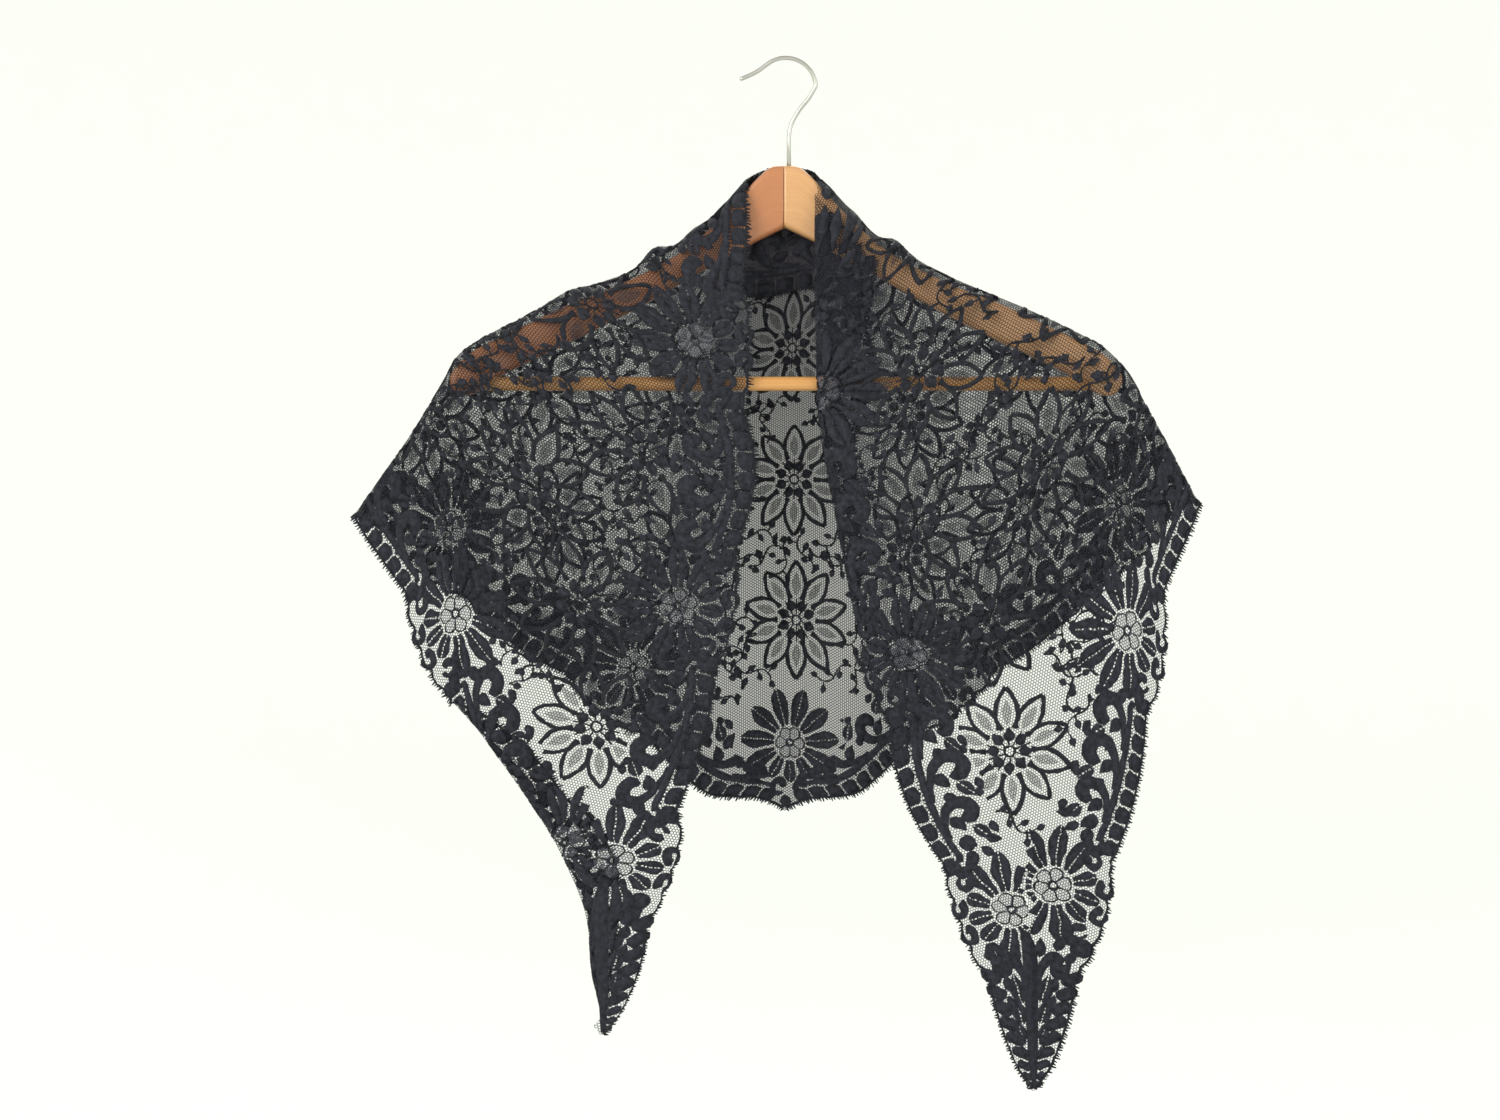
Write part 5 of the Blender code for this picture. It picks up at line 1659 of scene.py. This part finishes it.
def add_hanger():
    """The hanger's four pieces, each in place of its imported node."""
    # One beech in two copies: the left arm's darker, redder tone is painted shade and the right arm's
    # paler tone is painted light.
    reddish_painted_shade = wood_finish("lacquered beech, reddish half", "#a96b41", "#b37447")
    pale = wood_finish("lacquered beech, pale half", "#c18d5a", "#ca9a67")
    golden = wood_finish("lacquered beech dowel", "#bb8240", "#c79350")
    share = np.concatenate([np.linspace(0.0, 1.0, 60), 1.0 - np.geomspace(0.02, 1e-4, 5)])
    reach = BAR_HALF_LENGTH * (2.0 * np.sort(share) - 1.0)
    rod = tube(coords(reach, 0.0), BAR_RADIUS, 40)
    rod = (rod[0] + (0.0, BAR_Y, BAR_Z), *rod[1:])
    pieces = [
        ("arm_left_beech", arm_rings(-1), reddish_painted_shade, "hanger_arm_left", "arm_wood"),
        ("arm_right_beech", arm_rings(1), pale, "hanger_arm_right", "arm_wood"),
        ("trouser_bar_beech", rod, golden, "hanger_bar", "bar_wood"),
        ("hook_wire", tube(hook_path(), WIRE_RADIUS), steel_finish(), "hanger_hook", "hook_steel"),
    ]
    for name, (points, faces, uv, caps), material, stands_for, slot in pieces:
        piece = add_piece(name, points, faces, material, uv, caps)
        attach(piece, "root")
        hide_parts(stands_for)


def add_mantilla():
    """The net in its three stretches and the flap, and the pattern on each."""
    net = net_finish("black machine-twisted net", "#1e1f26", 0.02, 0.82)
    # The back's copy of the same net carries painted shade: its holes mostly closed, most in its middle
    # under the neck, and its black a little lighter.
    net_with_painted_shade = net_finish("black machine-twisted net with painted shade, back", "#2f2c33", 0.5, 0.96, 0.38)
    gimp = clothwork_finish("gimp cord outlines", "#191a20")
    dense = clothwork_finish("dense clothwork", "#1f2027")
    half_tone = clothwork_finish("half-tone clothwork", "#202127", (0.3, 0.7))
    open_work = clothwork_finish("open clothwork", "#55555c", (0.15, 0.55))
    threads = dict(zip(KINDS, listed(
        Thread, ("outline_cords", gimp, 0.8, 0.05), ("clothwork", dense, 0.5, 0.0),
        ("half_tone", half_tone, 0.0, 0.3), ("rosettes", open_work, 0.0, 0.35),
    )))
    names = {BACK: "back", LEFT_FRONT: "left_front", RIGHT_FRONT: "right_front"}
    laces = {code: [] for code in names}
    for kind, shape in whole_pattern().items():
        shape = Shape(wandered(shape.points), shape.faces)
        place, stretch = hang(*shape.points.T)
        place = place + (lifts(shape) + threads[kind].front)[:, None] * LIFT_WAY
        middle = stretch[shape.faces]
        for code, where in names.items():
            here = (middle[:, 0] == code) & (middle != NO_STRETCH).all(axis=1)
            part = Shape(shape.points, shape.faces[here])
            laces[code].append(add_lace(where, threads[kind], part, place))
    fronts = {
        side.name: [
            (flat, hung_front(side, flat[..., 0], flat[..., 1]))
            for flat in (front_field(side), front_edge_border(side), front_hem_border(side))
        ]
        for side in (LEFT, RIGHT)
    }
    for side, flat in ((LEFT, left_turned_hem()), (RIGHT, right_turned_edge())):
        place = hang_front(side, flat[..., 0].ravel(), flat[..., 1].ravel())
        fronts[side.name].append((flat, place.reshape(*flat.shape[:2], 3)))
    back = [
        (flat, hung_back(flat[..., 0], flat[..., 1]))
        for flat in (back_field(), back_hem_border(LEFT), back_hem_border(RIGHT))
    ]
    arms = ["arm_left_beech", "arm_right_beech"]
    sheets = [
        ("net_back", back, 1, (0.66, 0.51), arms, BACK,
         ["back_panel", "back_hem_border_left", "back_hem_border_right"]),
        ("net_left_front", fronts["left"], -1, (0.70, 0.34),
         ["arm_left_beech", "trouser_bar_beech"], LEFT_FRONT,
         ["left_front", "left_edge_border", "left_hem_border", "left_turned_hem"]),
        ("net_right_front", fronts["right"], -1, (0.70, 0.34),
         ["arm_right_beech", "trouser_bar_beech"], RIGHT_FRONT,
         ["right_front", "right_edge_border", "right_hem_border", "right_turned_edge"]),
    ]
    for name, stretches, facing, flat, rests_on, code, nodes in sheets:
        sheet, area = net_sheet(name, stretches, net_with_painted_shade if code == BACK else net, facing)
        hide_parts(*nodes)
    add_flap(net_with_painted_shade, threads)


def add_flap(net, threads):
    """The stretch of long edge turned down behind the neck: net, given the back's net
    with its painted shade, and the border's pattern with its edge along the foot."""
    share, reach = np.meshgrid(np.linspace(0.0, 1.0, 40), FLAP_LENGTH * steps(1.0, 0.03) ** 1.5)
    x = lerp(*flap_sides(reach), share)
    flat = coords(x, FLAP_LENGTH - reach)
    sheet, area = net_sheet("net_neck_flap", [(flat, hung_flap(x, reach))], net, -1)
    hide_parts("neck_turnover")
    middle = FLAP_WIDTH / 2
    stops = middle + LONG_EDGE_REPEAT * np.array([-0.5, 0.5])
    run = border_run(stops, stops, 1.0, FLAP_WIDTH - 1.0, lambda u: 0.6 + 0.0 * u)
    for kind in ("cord", "dense"):  # the flap lies between two rosettes
        shape = run[kind]
        along, inward = shape.points.T
        x, reach = along - middle, np.maximum(FLAP_LENGTH - inward, 0.0)
        left, right = flap_sides(reach)
        part = faces_where(shape, (x > left + 0.4) & (x < right - 0.4) & (reach > 3.0))
        place = hung_flap(x, reach) + (lifts(shape) + threads[kind].front)[:, None] * LIFT_WAY
        add_lace("neck_flap", threads[kind], part, place)


def add_stage():
    """A pale matt bowl round the hanging piece: a flat floor whose rim rises in one sweep,
    as a profile turned about the middle."""
    bend = np.linspace(0.1, 1.57, 14)
    floor, rim = np.linspace(0.02, STAGE_FLOOR, 8), np.linspace(STAGE_ROUND + 0.1, STAGE_TOP, 6)
    out = np.concatenate([floor, STAGE_FLOOR + STAGE_ROUND * np.sin(bend),
                          np.full(len(rim), STAGE_FLOOR + STAGE_ROUND)])
    up = np.concatenate([0.0 * floor, STAGE_ROUND - STAGE_ROUND * np.cos(bend), rim]) - STAGE_DROP
    angle = -np.linspace(0.0, 2 * math.pi, 97)[1:]
    out, up = out[:, None], up[:, None]
    profile = coords(out * np.cos(angle), out * np.sin(angle), up) / MILLIMETRE
    points, faces, _, caps = rings(profile, profile[..., :2])
    plaster = finish_of("pale matt plaster", Base_Color=linear("#f6f8f4"), Roughness=0.9)[0]
    bowl = add_piece("stage_bowl", points, faces, plaster, None, caps[:1])


def add_light(name, place, size, power, colour):
    lamp = bpy.data.lights.new(name, "AREA")
    lamp.shape = "SQUARE"
    lamp.size = size
    lamp.energy = power
    lamp.color = linear(colour)[:3]
    made = bpy.data.objects.new(name, lamp)
    made.location = place
    aim = Vector((0.0, 0.0, -0.35)) - made.location
    made.rotation_euler = aim.to_track_quat("-Z", "Y").to_euler()
    bpy.context.scene.collection.objects.link(made)


def add_lights_and_camera():
    """Soft daylight from the left front, a weak fill from the right, and a pale sky. The
    camera looks level along +Y at the photograph's distance and frame."""
    add_light("window_light", (-1.7, -2.0, 0.9), 1.6, 53.0, "#fffefa")
    add_light("fill_light", (1.9, -1.8, 0.3), 1.6, 19.0, "#f2f6ff")
    add_light("back_light", (0.3, 2.2, 0.9), 1.8, 26.0, "#ffffff")
    sky = bpy.data.worlds.new("pale sky")
    sky.use_nodes = True
    sky.node_tree.nodes["Background"].inputs["Color"].default_value = linear("#f4f3f1")
    sky.node_tree.nodes["Background"].inputs["Strength"].default_value = 0.8
    bpy.context.scene.world = sky
    bpy.context.scene.view_settings.view_transform = "Standard"
    seen = bpy.data.cameras.new("camera")
    seen.sensor_width = 36.0
    seen.lens = 36.0 * CAMERA_AWAY / (FRAME_PIXELS * PIXEL)
    seen.clip_start = 0.05
    made = bpy.data.objects.new("camera", seen)
    made.location = np.array([CAMERA_X, FRONT_PLANE_Y - CAMERA_AWAY, CAMERA_Z]) * MILLIMETRE
    made.rotation_euler = (math.pi / 2, 0.0, 0.0)
    bpy.context.scene.collection.objects.link(made)
    bpy.context.scene.camera = made


def main():
    for leftover in [o for o in bpy.data.objects if o.type in ("LIGHT", "CAMERA")]:
        bpy.data.objects.remove(leftover)
    add_lights_and_camera()
    add_hanger()
    add_mantilla()
    add_stage()


main()
